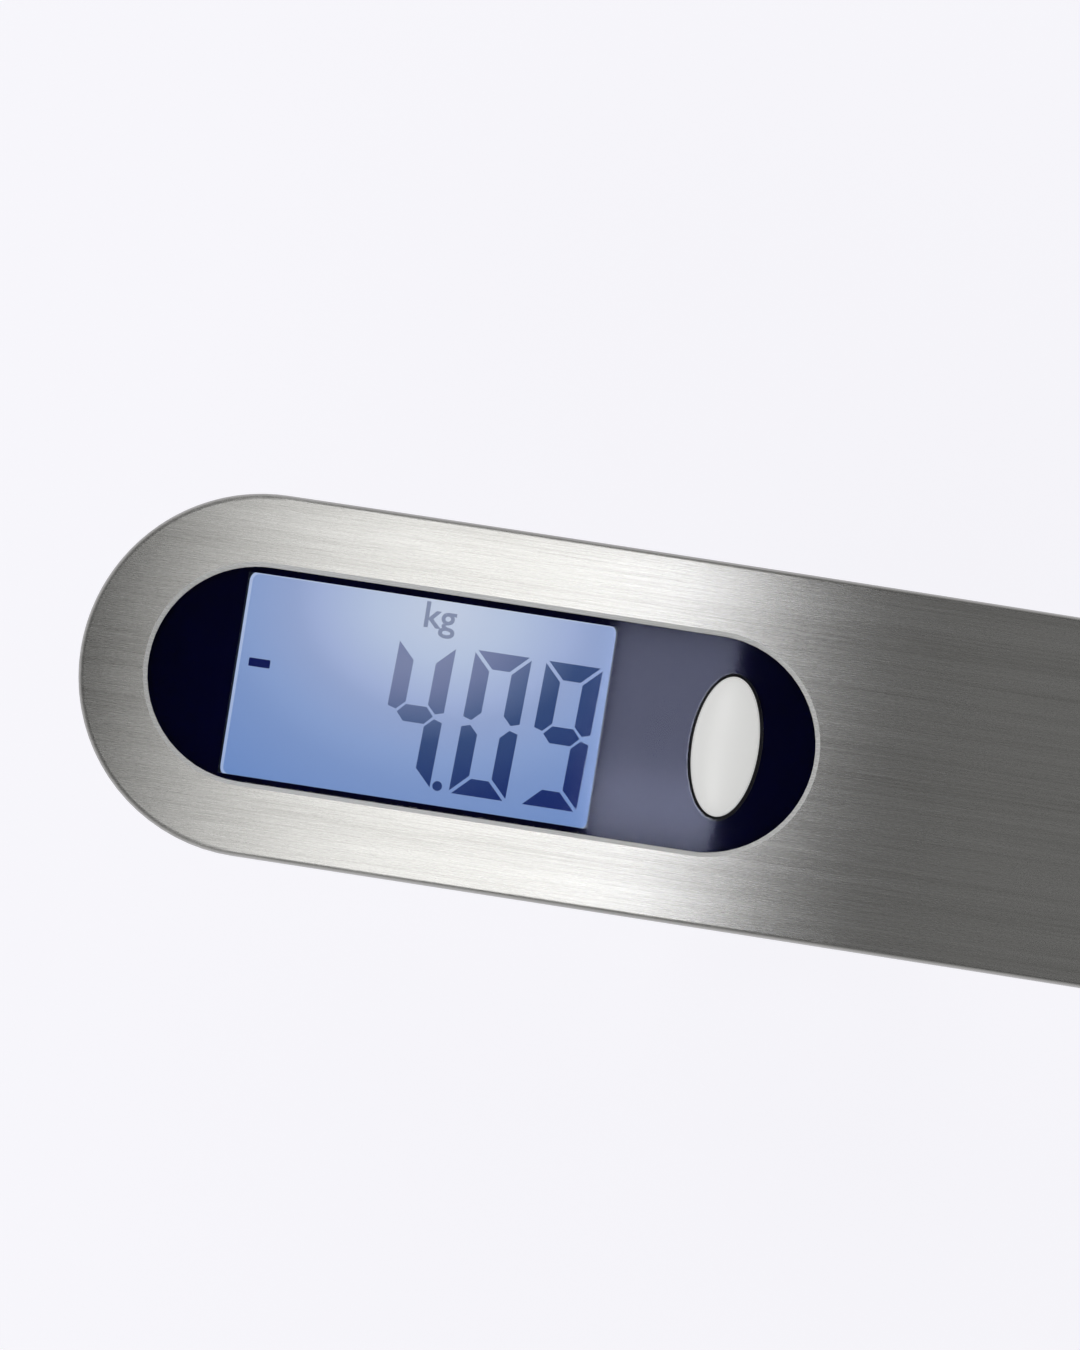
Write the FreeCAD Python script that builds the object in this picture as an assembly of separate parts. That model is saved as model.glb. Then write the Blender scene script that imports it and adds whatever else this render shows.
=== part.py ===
import FreeCAD, Part
import math
import os

# Digital luggage scale of the bar type, in millimetres.
# Origin: the middle of the hand grip. +X runs along the body, away from the display end.
# +Y is across the body, +Z points out of the metal face plate, and the strap hangs along -Z.

V = FreeCAD.Vector
X_DIR = V(1, 0, 0)
Y_DIR = V(0, 1, 0)
Z_DIR = V(0, 0, 1)
FAR = 60.0
HAIR = 0.05
FILM = 0.02

# ---- body envelope ----
BODY_LENGTH = 158.0
BODY_WIDTH = 37.0
BODY_DEPTH = 25.0
APEX_Z = BODY_DEPTH / 2
BASE_Z = -BODY_DEPTH / 2
ARCH_RADIUS = 520.0
END_RADIUS = BODY_WIDTH / 2
END_X = BODY_LENGTH / 2 - END_RADIUS

CASE_INSET = 0.2
CASE_TAPER = 0.07
CASE_WALL = 2.0
CASE_EDGE_ROUND = 4.0
UPSWEEP_X = 62.0
UPSWEEP_RADIUS = 32.0
PARTING_DROP = 5.0
PARTING_GAP = 0.25
LIP_HEIGHT = 1.2
LIP_THICKNESS = 0.9
LIP_PLAY = 0.12
FLOOR_Z = BASE_Z + CASE_WALL

# ---- face plate, tape and deck: "drop" is the distance below the plate's arched face ----
PLATE_THICKNESS = 0.8
PLATE_SKIRT = 3.0
PLATE_EDGE_ROUND = 0.6
PLATE_BEVEL = 0.45
TAPE_THICKNESS = 0.15
DECK_TOP = PLATE_THICKNESS + TAPE_THICKNESS + FILM
DECK_BOTTOM = 3.0
SHOULDER_DROP = PLATE_SKIRT + 0.15
DECK_INSET = PLATE_THICKNESS + 0.5
DECK_WALL = 1.6

# ---- display window ----
WINDOW_X = -37.8
WINDOW_LENGTH = 68.3
WINDOW_RADIUS = 11.0
WINDOW_HALF = WINDOW_LENGTH / 2 - WINDOW_RADIUS
LENS_RECESS = 0.5
LENS_BOTTOM = 2.0
LENS_GAP = 0.1
LENS_FLANGE = 1.3
MASK_THICKNESS = 0.1
LEDGE_OPENING = WINDOW_RADIUS - 0.3
LENS_POCKET_PLAY = 0.2
VIEW_LENGTH = 38.0
VIEW_WIDTH = 20.7
VIEW_X = -44.2
VIEW_MARGIN = 0.4

# ---- power button and switch ----
BUTTON_X = -12.75
BUTTON_HALF_X = 3.375
BUTTON_HALF_Y = 7.15
BUTTON_GAP = 0.3
BUTTON_DOME = 1.2
BUTTON_FLANGE = 0.85
BUTTON_FLANGE_THICKNESS = 0.8
BUTTON_POST_RADIUS = 1.5
BUTTON_POST_GAP = 0.12
SWITCH_LENGTH = 6.0
SWITCH_WIDTH = 3.6
SWITCH_HEIGHT = 1.9
PLUNGER_RADIUS = 1.0
PLUNGER_RISE = 0.65
PLUNGER_FOOT = 0.9
PLUNGER_PLAY = 0.1

# ---- display module: "depth" is measured down its own normal from the plate's face ----
MODULE_TILT = math.degrees(math.asin(-VIEW_X / ARCH_RADIUS))
LCD_TOP = 3.6
LCD_GLASS = 0.8
LCD_THICKNESS = 2 * LCD_GLASS
LCD_LENGTH = 41.8
LCD_WIDTH = 24.0
LCD_LEDGE = 1.4
LCD_PLAY = 0.2
HOLDER_WALL = 1.4
BACKLIGHT_THICKNESS = 2.4
BACKLIGHT_WIDTH = 19.8
LAMP_LENGTH = 1.5
LAMP_WIDTH = 4.0
LAMP_HEIGHT = 1.8
ZEBRA_LENGTH = 38.0
ZEBRA_WIDTH = 1.6
ZEBRA_Y = 11.1
BOARD_TOP = 8.8
BOARD_THICKNESS = 1.2
BOARD_UNDER = BOARD_TOP + BOARD_THICKNESS
BOARD_LEFT = -22.6
BOARD_RIGHT = 39.5
BOARD_WIDTH = 26.0
BOARD_SCREW_U = 36.0
BOARD_SCREW_Y = 10.0
BOARD_SCREW_RADIUS = 0.85
BOARD_POST_RADIUS = 2.0
BOARD_POST_DEPTH = 3.6
CONTROLLER_SIZE = 10.0
CONTROLLER_HEIGHT = 1.4
AMPLIFIER_U = 14.5
AMPLIFIER_Y = -4.0
AMPLIFIER_LENGTH = 5.0
AMPLIFIER_WIDTH = 4.0
AMPLIFIER_HEIGHT = 0.9
CRYSTAL_Y = -9.6
CRYSTAL_RADIUS = 1.1
CRYSTAL_HEIGHT = 1.6
BUZZER_U = 32.5
BUZZER_RADIUS = 5.0
BUZZER_HEIGHT = 1.1

# ---- load path: beam, chassis, stirrup and strap rod ----
ROD_Z = -10.2
ROD_RADIUS = 2.0
ROD_CHAMFER = 0.3
PIN_GAP = 0.04
STRAP_THICKNESS = 1.3
STRAP_WIDTH = 25.0
STRAP_EYE_GAP = 0.15
STRAP_FLARE = 6.0
STRAP_THROAT = 4.8
STIRRUP_THICKNESS = 2.0
STIRRUP_HALF = 16.6
STIRRUP_WEB_TOP = -4.4
STIRRUP_FOOT_Z = -13.0
STIRRUP_WIDTH = 9.0
STIRRUP_FOOT_ROUND = 3.0
STIRRUP_BEND_ROUND = 1.6
ROD_HALF = STIRRUP_HALF + 0.4
BOLT_RADIUS = 1.75
BOLT_HEAD = 3.4
BEAM_LENGTH = 56.0
BEAM_WIDTH = 12.0
BEAM_THICKNESS = 3.6
BEAM_PAD = 1.0
BEAM_BOTTOM = STIRRUP_WEB_TOP + BEAM_PAD
BEAM_TOP = BEAM_BOTTOM + BEAM_THICKNESS
BEAM_SCREW_X = 24.0
BEAM_SCREW_RADIUS = 1.55
BEAM_HOLE_RADIUS = 1.65
BEAM_SCREW_HEAD = 2.9
BEAM_SCREW_FOOT = -9.3
BEAM_PAD_HALF = 4.5
BEAM_NOTCH_Y = 9.5
BEAM_NOTCH_RADIUS = 4.5
WAIST_HALF = 3.5
WAIST_DEPTH = 1.2
SPACER_HALF = 4.0
GAUGE_X = 10.0
GAUGE_LENGTH = 5.0
GAUGE_WIDTH = 3.6
GAUGE_THICKNESS = 0.1
SEALANT_HALF_X = 3.4
SEALANT_HALF_Y = 4.2
SEALANT_HEIGHT = 1.1
SEALANT_CORNER = 1.2
CHASSIS_LENGTH = 66.0
CHASSIS_WIDTH = 23.0
CHASSIS_BOTTOM = -8.0
CHASSIS_TOP = -6.5
CHASSIS_SCREW_X = 23.5
CHASSIS_SCREW_Y = 9.0
CHASSIS_SCREW_RADIUS = 0.9
CHASSIS_SCREW_HEAD = 1.9
CHASSIS_SCREW_FOOT = -11.5
CHASSIS_SCREWS = [(sx * CHASSIS_SCREW_X, sy * CHASSIS_SCREW_Y) for sx in (1, -1) for sy in (1, -1)]
CHASSIS_CORNER = 3.0
CHASSIS_SLOT_LENGTH = 38.0
CHASSIS_SLOT_CORNER = 2.0
SLOT_LENGTH = 36.0
SLOT_WIDTH = 15.0
SLOT_CORNER = 4.0
SLOT_CHAMFER = 0.8

# ---- case screws: two at the ends, two beside the load beam ----
CASE_SCREW_X = 30.5
CASE_SCREW_Y = 9.2
END_SCREW_X = 71.0
CASE_SCREWS = [
    (-END_SCREW_X, 0.0),
    (END_SCREW_X, 0.0),
    (CASE_SCREW_X, CASE_SCREW_Y),
    (CASE_SCREW_X, -CASE_SCREW_Y),
]
SCREW_HEAD_RADIUS = 2.2
SCREW_HEAD_HEIGHT = 1.3
SCREW_SHANK_RADIUS = 1.1
SCREW_LENGTH = 10.0
SCREW_PLAY = 0.2
CROSS_WIDTH = 0.5
SCREW_HEAD_SUNK = 0.6
POST_RADIUS = 2.6
POST_FOOT_Z = -6.4

# ---- battery bay ----
CELL_X = 48.5
CELL_RADIUS = 10.0
CELL_THICKNESS = 3.2
CELL_STEP = 0.5
CELL_RIM = 1.1
CELL_BOTTOM = -10.2
CUP_RADIUS = 11.9
CUP_TOP = -5.5
CUP_CEILING = -6.7
BAY_WALL = 1.6
DOOR_LEFT = 36.1
DOOR_THICKNESS = 2.0
DOOR_HALF_WIDTH = 10.8
DOOR_GAP = 0.15
DOOR_AXIS_X = 60.3
DOOR_AXIS_Z = BASE_Z + DOOR_THICKNESS / 2
DOOR_PIN_RADIUS = 0.7
DOOR_PIN_REACH = 1.1
DOOR_SWING_GAP = 0.35
DOOR_RIBS = 4
DOOR_RIB_PITCH = 1.7
DOOR_RIB_WIDTH = 0.8
DOOR_RIB_HALF = 5.0
DOOR_RIB_STEP = 0.6
DOOR_RIB_DEPTH = 0.4
NAIL_NOTCH_RADIUS = 1.3
NAIL_NOTCH_HALF = 4.0
CELL_PLAY = 0.35
CONTACT_SHEET = 0.25
CONTACT_WIDTH = 3.2
CONTACT_ROOM = 0.6
CONTACT_TOP = CUP_TOP + 1.5
PLUS_X = CELL_X - CELL_RADIUS - CONTACT_SHEET - 0.2
MINUS_X = CELL_X - 4.7
MINUS_REACH = 10.2

# ---- leads and wires ----
LEAD_RADIUS = 0.5
GAUGE_WIRE_RADIUS = 0.3
GAUGE_WIRE_PITCH = 1.6
GAUGE_WIRE_X = -18.6

# ---- grip pad ----
GRIP_LEFT = -60.0
GRIP_RIGHT = -24.0
GRIP_HALF_WIDTH = 8.5
GRIP_DEPTH = 0.8
GRIP_PROUD = 0.4
GRIP_CORNER = 3.0
GRIP_GROOVES = 8
GRIP_GROOVE_WIDTH = 1.0

# ---- strap, swivel eye and snap hook ----
EYE_BAR_Z = -68.0
EYE_BAR_RADIUS = 2.0
EYE_HALF = 16.2
EYE_FOOT_Z = -83.0
EYE_CORNER = 3.6
BOSS_RADIUS = 5.2
BOSS_TOP = -80.5
BOSS_BOTTOM = -85.5
POST_PIN_RADIUS = 2.2
COLLAR_BOTTOM = -89.0
HOOK_BAR_RADIUS = 3.0
HOOK_HALF = 13.0
HOOK_BOTTOM_Z = -132.0
HOOK_NOSE_Z = -114.0
GATE_PIVOT_X = 9.5
GATE_PIVOT_Z = -96.5
GATE_TIP_X = 7.55
GATE_TIP_Z = -115.5
GATE_BAR_RADIUS = 2.2
GATE_PIN_RADIUS = 1.2
GATE_PIN_ROUND = 0.25
EAR_INNER = 2.4
EAR_OUTER = 4.0
EAR_RADIUS = 3.6
BARREL_RADIUS = 3.3
BARREL_GAP = 0.3
BARREL_END_Y = 0.4
SIDE_GAP = 0.2
SPRING_RADIUS = 2.1
SPRING_WIRE = 0.45
SPRING_TURNS = 4
SPRING_GROOVE = 0.12
COLLAR_RADIUS = 5.0
SWIVEL_GAP = 0.3
RIVET_RADIUS = 3.6
RIVET_HEIGHT = 1.4
RIM_ROUND = 0.6
SHOULDER_DEPTH = 2.2
SHOULDER_RADIUS = 4.4
ROOT_RADIUS = 3.4


# ---------------------------------------------------------------- basic solids
def block(x0, x1, y0, y1, z0, z1):
    return Part.makeBox(x1 - x0, y1 - y0, z1 - z0, V(x0, y0, z0))


def cylinder(point, axis, radius, length):
    return Part.makeCylinder(radius, length, point, axis)


def upright(x, y, radius, z0, z1):
    return cylinder(V(x, y, z0), Z_DIR, radius, z1 - z0)


def prism(wire, direction):
    return Part.Face(wire).extrude(direction)


def obround_wire(x0, x1, radius, z):
    upper = Part.makeLine(V(x0, radius, z), V(x1, radius, z))
    right = Part.Arc(V(x1, radius, z), V(x1 + radius, 0, z), V(x1, -radius, z)).toShape()
    lower = Part.makeLine(V(x1, -radius, z), V(x0, -radius, z))
    left = Part.Arc(V(x0, -radius, z), V(x0 - radius, 0, z), V(x0, radius, z)).toShape()
    return Part.Wire([upper, right, lower, left])


def obround(x0, x1, radius, z0=-FAR, z1=FAR):
    return prism(obround_wire(x0, x1, radius, z0), V(0, 0, z1 - z0))


def ellipse_prism(x, half_x, half_y, z0, z1):
    curve = Part.Ellipse(V(x, half_y, z0), V(x + half_x, 0, z0), V(x, 0, z0))
    return prism(Part.Wire(curve.toShape()), V(0, 0, z1 - z0))


def fuse_all(shapes):
    return shapes[0].multiFuse(shapes[1:]).removeSplitter()


def round_uprights(shape, radius):
    edges = [e for e in shape.Edges if abs(abs(e.tangentAt(e.FirstParameter).z) - 1) < 1e-6]
    return shape.makeFillet(radius, edges)


def rounded_block(x0, x1, y0, y1, z0, z1, radius):
    return round_uprights(block(x0, x1, y0, y1, z0, z1), radius)


def mirrored_y(shape):
    return shape.mirror(V(0, 0, 0), Y_DIR)


# ---------------------------------------------------------------- arched layers
def arch_height(x, drop=0.0):
    radius = ARCH_RADIUS - drop
    return APEX_Z - ARCH_RADIUS + math.sqrt(radius * radius - x * x)


def under_arch(drop):
    base = V(0, -FAR, APEX_Z - ARCH_RADIUS)
    return cylinder(base, Y_DIR, ARCH_RADIUS - drop, 2 * FAR)


def arch_layer(shape, top_drop, bottom_drop):
    return shape.common(under_arch(top_drop)).cut(under_arch(bottom_drop))


def body_plan(inset):
    return obround(-END_X, END_X, END_RADIUS - inset)


def window_plan(growth):
    return obround(WINDOW_X - WINDOW_HALF, WINDOW_X + WINDOW_HALF, WINDOW_RADIUS + growth)


def case_half_width(z, inset):
    return END_RADIUS - CASE_INSET - inset - (APEX_Z - z) * CASE_TAPER


def base_height(x, inset=0.0):
    run = max(0.0, abs(x) - UPSWEEP_X)
    centre_z = BASE_Z + UPSWEEP_RADIUS
    return centre_z - math.sqrt((UPSWEEP_RADIUS - inset) ** 2 - run * run)


def side_profile(inset):
    # the flat underside with its two upswept ends, seen from the side
    radius = UPSWEEP_RADIUS - inset
    centre_z = BASE_Z + UPSWEEP_RADIUS
    corners = []
    for side in (1, -1):
        foot = V(side * UPSWEEP_X, -FAR, centre_z - radius)
        middle_turn = math.radians(30)
        end_turn = math.radians(60)
        middle = V(side * (UPSWEEP_X + radius * math.sin(middle_turn)), -FAR,
                   centre_z - radius * math.cos(middle_turn))
        end = V(side * (UPSWEEP_X + radius * math.sin(end_turn)), -FAR,
                centre_z - radius * math.cos(end_turn))
        corners.append((foot, middle, end, V(end.x, -FAR, FAR)))
    right, left = corners
    edges = [
        Part.makeLine(left[0], right[0]),
        Part.Arc(right[0], right[1], right[2]).toShape(),
        Part.makeLine(right[2], right[3]),
        Part.makeLine(right[3], left[3]),
        Part.makeLine(left[3], left[2]),
        Part.Arc(left[2], left[1], left[0]).toShape(),
    ]
    return prism(Part.Wire(edges), V(0, 2 * FAR, 0))


def case_blank(inset):
    # tapered obround with the arched side profile; the inset is the wall left outside it
    top_z = APEX_Z + 2
    low_z = BASE_Z - 2
    sections = [obround_wire(-END_X, END_X, case_half_width(z, inset), z) for z in (low_z, top_z)]
    tapered = Part.makeLoft(sections, True, True)
    return tapered.common(side_profile(inset))


def is_base_rim(edge):
    middle = edge.valueAt((edge.FirstParameter + edge.LastParameter) / 2)
    on_base = abs(middle.z - base_height(middle.x)) < 1e-3
    return on_base and (abs(middle.y) > 1 or abs(middle.x) > UPSWEEP_X + 1)


def rounded_case():
    blank = case_blank(0.0)
    return blank.makeFillet(CASE_EDGE_ROUND, [e for e in blank.Edges if is_base_rim(e)])


# ---------------------------------------------------------------- swept bars and leads
def rounded_path(points, radii):
    # straight runs joined by tangent arcs, one radius for each inner point
    edges = []
    start = points[0]
    for before, corner, after, radius in zip(points, points[1:], points[2:], radii):
        into = (corner - before).normalize()
        out = (after - corner).normalize()
        half_turn = into.getAngle(out) / 2
        reach = radius * math.tan(half_turn)
        first = corner - into * reach
        last = corner + out * reach
        inward = (out - into).normalize()
        centre = corner + inward * (radius / math.cos(half_turn))
        middle = centre - inward * radius
        if first.distanceToPoint(start) > 1e-6:
            edges.append(Part.makeLine(start, first))
        edges.append(Part.Arc(first, middle, last).toShape())
        start = last
    edges.append(Part.makeLine(start, points[-1]))
    return Part.Wire(edges)


def lead_radii(points):
    radii = []
    for before, corner, after in zip(points, points[1:], points[2:]):
        into = corner - before
        out = after - corner
        shorter = min(into.Length, out.Length)
        radii.append(0.45 * shorter / math.tan(into.getAngle(out) / 2))
    return radii


def round_bar(path, radius):
    start = path.OrderedEdges[0]
    point = start.valueAt(start.FirstParameter)
    tangent = start.tangentAt(start.FirstParameter)
    section = Part.Wire(Part.makeCircle(radius, point, tangent))
    return path.makePipeShell([section], True, True)


def lead(points, radius):
    return round_bar(rounded_path(points, lead_radii(points)), radius)


def tangent_hull(first, first_radius, second, second_radius, y0, y1):
    # a link plate in the XZ plane: two circles joined by their outer tangents
    run = second - first
    heading = math.atan2(run.z, run.x)
    spread = math.acos((first_radius - second_radius) / run.Length)

    def rim(centre, radius, angle):
        return V(centre.x + radius * math.cos(angle), y0, centre.z + radius * math.sin(angle))

    a = rim(first, first_radius, heading + spread)
    b = rim(second, second_radius, heading + spread)
    nose = rim(second, second_radius, heading)
    c = rim(second, second_radius, heading - spread)
    d = rim(first, first_radius, heading - spread)
    tail = rim(first, first_radius, heading + math.pi)
    edges = [
        Part.makeLine(a, b),
        Part.Arc(b, nose, c).toShape(),
        Part.makeLine(c, d),
        Part.Arc(d, tail, a).toShape(),
    ]
    return prism(Part.Wire(edges), V(0, y1 - y0, 0))


# ---------------------------------------------------------------- face plate and lens
def is_plate_rim(edge):
    middle = edge.valueAt((edge.FirstParameter + edge.LastParameter) / 2)
    offset = max(0.0, abs(middle.x) - END_X)
    on_side = abs(math.hypot(offset, middle.y) - END_RADIUS) < 1e-3
    return on_side and abs(middle.z - arch_height(middle.x)) < 1e-3


def is_window_rim(edge):
    middle = edge.valueAt((edge.FirstParameter + edge.LastParameter) / 2)
    offset = max(0.0, abs(middle.x - WINDOW_X) - WINDOW_HALF)
    on_side = abs(math.hypot(offset, middle.y) - WINDOW_RADIUS) < 1e-3
    return on_side and abs(middle.z - arch_height(middle.x)) < 1e-3


def top_plate():
    outer = arch_layer(body_plan(0), 0, PLATE_SKIRT)
    outer = outer.makeFillet(PLATE_EDGE_ROUND, [e for e in outer.Edges if is_plate_rim(e)])
    inner = arch_layer(body_plan(PLATE_THICKNESS), PLATE_THICKNESS, PLATE_SKIRT + 1)
    plate = outer.cut(inner).cut(window_plan(0))
    return plate.makeChamfer(PLATE_BEVEL, [e for e in plate.Edges if is_window_rim(e)])


def plate_tape():
    band = body_plan(DECK_INSET + 0.4).cut(window_plan(LENS_FLANGE + 0.6))
    return arch_layer(band, PLATE_THICKNESS, DECK_TOP)


def button_hole(growth=0.0):
    half_x = BUTTON_HALF_X + BUTTON_GAP + growth
    half_y = BUTTON_HALF_Y + BUTTON_GAP + growth
    return ellipse_prism(BUTTON_X, half_x, half_y, -FAR, FAR)


def display_lens():
    crown = arch_layer(window_plan(-LENS_GAP), LENS_RECESS, LENS_BOTTOM)
    flange = arch_layer(window_plan(LENS_FLANGE), DECK_TOP, LENS_BOTTOM)
    return crown.fuse(flange).removeSplitter().cut(button_hole())


def lens_mask():
    film = arch_layer(window_plan(LENS_FLANGE - LENS_GAP), LENS_BOTTOM, LENS_BOTTOM + MASK_THICKNESS)
    half = VIEW_LENGTH / 2
    view = block(VIEW_X - half, VIEW_X + half, -VIEW_WIDTH / 2, VIEW_WIDTH / 2, -FAR, FAR)
    return film.cut(view).cut(button_hole(LENS_GAP))


# ---------------------------------------------------------------- case halves
def case_post(x, y):
    radius = POST_RADIUS
    foot = POST_FOOT_Z
    post = upright(x, y, radius, foot, arch_height(x, DECK_BOTTOM - HAIR))
    hole = upright(x, y, SCREW_SHANK_RADIUS + HAIR, foot - 1, foot + SCREW_LENGTH)
    return post.cut(hole)


def board_post(side):
    x = BOARD_SCREW_U
    y = side * BOARD_SCREW_Y
    full = in_module(upright(x, y, BOARD_POST_RADIUS, -BOARD_TOP + HAIR, 0))
    post = full.common(under_arch(DECK_BOTTOM - HAIR))
    hole = upright(x, y, BOARD_SCREW_RADIUS + HAIR, -BOARD_TOP - 1, -BOARD_TOP + BOARD_POST_DEPTH)
    return post.cut(in_module(hole))


def upper_case():
    deck = arch_layer(body_plan(DECK_INSET), DECK_TOP, SHOULDER_DROP)
    skirt = arch_layer(case_blank(0.0), SHOULDER_DROP, PARTING_DROP - PARTING_GAP)
    shell = deck.fuse(skirt)
    shell = shell.cut(arch_layer(body_plan(DECK_INSET + DECK_WALL), DECK_BOTTOM, PARTING_DROP + 1))
    lip_top = PARTING_DROP - LIP_HEIGHT - LENS_POCKET_PLAY
    shell = shell.cut(arch_layer(case_blank(LIP_THICKNESS), lip_top, PARTING_DROP + 1))
    pocket_floor = LENS_BOTTOM + MASK_THICKNESS + HAIR
    shell = shell.cut(arch_layer(window_plan(LENS_FLANGE + LENS_POCKET_PLAY), 0, pocket_floor))
    half = VIEW_LENGTH / 2 + VIEW_MARGIN
    half_width = VIEW_WIDTH / 2 + VIEW_MARGIN
    view = block(VIEW_X - half, VIEW_X + half, -half_width, half_width, -FAR, FAR)
    shell = shell.cut(view.common(window_plan(LEDGE_OPENING - WINDOW_RADIUS)))
    shell = shell.cut(button_hole(LENS_GAP))
    posts = [case_post(x, y) for x, y in CASE_SCREWS]
    posts += [board_post(side) for side in (1, -1)]
    return fuse_all([shell] + posts)


def across_y(x, z, radius, half_length):
    return cylinder(V(x, -half_length, z), Y_DIR, radius, 2 * half_length)


def battery_bay_room():
    # everything the cell, the contacts and the door need inside the cover
    recess = block(DOOR_LEFT - DOOR_GAP, DOOR_AXIS_X + DOOR_THICKNESS / 2 + DOOR_SWING_GAP,
                   -DOOR_HALF_WIDTH - DOOR_GAP, DOOR_HALF_WIDTH + DOOR_GAP,
                   BASE_Z - 1, BASE_Z + DOOR_THICKNESS + DOOR_GAP)
    pocket = upright(CELL_X, 0, CELL_RADIUS + CELL_PLAY, BASE_Z, CUP_CEILING)
    half = CONTACT_WIDTH / 2
    notch = block(PLUS_X - CONTACT_ROOM, CELL_X, -half - CONTACT_ROOM, half + CONTACT_ROOM,
                  CELL_BOTTOM, CUP_CEILING)
    slots = [block(x - HAIR, x + CONTACT_SHEET + HAIR, -half - HAIR, half + HAIR,
                   CUP_CEILING - 1, CUP_TOP + 1)
             for x in (PLUS_X, MINUS_X)]
    axle = across_y(DOOR_AXIS_X, DOOR_AXIS_Z, DOOR_PIN_RADIUS + PIN_GAP,
                    DOOR_HALF_WIDTH + DOOR_PIN_REACH + DOOR_GAP)
    nail_notch = across_y(DOOR_LEFT - NAIL_NOTCH_RADIUS, BASE_Z, NAIL_NOTCH_RADIUS, NAIL_NOTCH_HALF)
    return recess.multiFuse([pocket, notch, axle, nail_notch] + slots)


def rear_cover():
    shell = arch_layer(rounded_case(), PARTING_DROP, FAR)
    cavity = case_blank(CASE_WALL)
    shell = shell.cut(cavity)
    lip = arch_layer(case_blank(LIP_THICKNESS + LIP_PLAY), PARTING_DROP - LIP_HEIGHT, PARTING_DROP + HAIR)
    lip = lip.cut(cavity)
    bay_half = DOOR_HALF_WIDTH + BAY_WALL
    battery_floor = block(DOOR_LEFT - BAY_WALL, DOOR_AXIS_X + 2 * BAY_WALL, -bay_half, bay_half,
                          FLOOR_Z - HAIR, FLOOR_Z + BAY_WALL)
    cup = upright(CELL_X, 0, CUP_RADIUS, FLOOR_Z - HAIR, CUP_TOP)
    pads = [upright(x, y, POST_RADIUS, FLOOR_Z - HAIR, CHASSIS_BOTTOM) for x, y in CHASSIS_SCREWS]
    for x, y in CASE_SCREWS:
        foot = base_height(abs(x) + POST_RADIUS, CASE_WALL / 2)
        pads.append(upright(x, y, POST_RADIUS + 0.6, foot, seat_height(x)))
    cover = fuse_all([shell, lip, battery_floor, cup] + pads)
    slot = rounded_block(-SLOT_LENGTH / 2, SLOT_LENGTH / 2, -SLOT_WIDTH / 2, SLOT_WIDTH / 2,
                         BASE_Z - 1, FLOOR_Z + 1, SLOT_CORNER)
    cover = cover.cut(slot).cut(battery_bay_room()).cut(grip_pad_room())
    for x, y in CASE_SCREWS:
        cover = cover.cut(upright(x, y, SCREW_HEAD_RADIUS + SCREW_PLAY, BASE_Z - 1, screw_seat(x)))
        cover = cover.cut(upright(x, y, SCREW_SHANK_RADIUS + SCREW_PLAY, BASE_Z, CHASSIS_TOP + 1))
    for x, y in CHASSIS_SCREWS:
        hole = upright(x, y, CHASSIS_SCREW_RADIUS + HAIR, CHASSIS_SCREW_FOOT - HAIR, CHASSIS_TOP)
        cover = cover.cut(hole)
    return cover.makeChamfer(SLOT_CHAMFER, [e for e in cover.Edges if is_slot_mouth(e)])


def is_slot_mouth(edge):
    middle = edge.valueAt((edge.FirstParameter + edge.LastParameter) / 2)
    in_slot = abs(middle.x) < SLOT_LENGTH / 2 + HAIR and abs(middle.y) < SLOT_WIDTH / 2 + HAIR
    return in_slot and abs(middle.z - BASE_Z) < 1e-4


def seat_height(x):
    # the two inner screws pass through the chassis, the end ones meet their post directly
    return CHASSIS_BOTTOM if abs(x) < CHASSIS_LENGTH / 2 else POST_FOOT_Z - HAIR


def screw_head_z(x):
    # sunk below the lowest of the underside round the head, which sweeps up at the ends
    return base_height(abs(x) + SCREW_HEAD_RADIUS) + SCREW_HEAD_SUNK


def screw_seat(x):
    return screw_head_z(x) + SCREW_HEAD_HEIGHT


# ---------------------------------------------------------------- display module
def in_module(shape):
    # from module coordinates (u along, v across, depth as -w) to the body's frame
    placed = shape.copy()
    tilt = FreeCAD.Rotation(Y_DIR, -MODULE_TILT)
    placed.Placement = FreeCAD.Placement(V(VIEW_X, 0, arch_height(VIEW_X)), tilt).multiply(placed.Placement)
    return placed


def lcd_panel():
    half = LCD_LENGTH / 2
    half_width = LCD_WIDTH / 2
    split = -LCD_TOP - LCD_GLASS
    rear = block(-half, half, -half_width, half_width, -LCD_TOP - LCD_THICKNESS, split)
    front = block(-half, half, -half_width + LCD_LEDGE, half_width - LCD_LEDGE, split, -LCD_TOP)
    return in_module(rear.fuse(front).removeSplitter())


def lcd_frame():
    inner_half = LCD_LENGTH / 2 + LCD_PLAY
    inner_width = LCD_WIDTH / 2 + LCD_PLAY
    outer_half = inner_half + HOLDER_WALL
    outer_width = inner_width + HOLDER_WALL
    outer = rounded_block(-outer_half, outer_half, -outer_width, outer_width,
                          -BOARD_TOP + HAIR, -LCD_TOP - 2 * HAIR, HOLDER_WALL)
    inner = block(-inner_half, inner_half, -inner_width, inner_width, -BOARD_TOP - 1, 0)
    return in_module(outer.cut(inner))


def backlight_top():
    return -LCD_TOP - LCD_THICKNESS - 2 * HAIR


def backlight_panel():
    left = -LCD_LENGTH / 2 + 2 * HAIR
    right = LCD_LENGTH / 2 - LAMP_LENGTH - 4 * HAIR
    half_width = BACKLIGHT_WIDTH / 2
    top = backlight_top()
    return in_module(rounded_block(left, right, -half_width, half_width, top - BACKLIGHT_THICKNESS, top, 0.8))


def backlight_led():
    right = LCD_LENGTH / 2 - 2 * HAIR
    half_width = LAMP_WIDTH / 2
    top = backlight_top() - 0.3
    return in_module(block(right - LAMP_LENGTH, right, -half_width, half_width, top - LAMP_HEIGHT, top))


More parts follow.
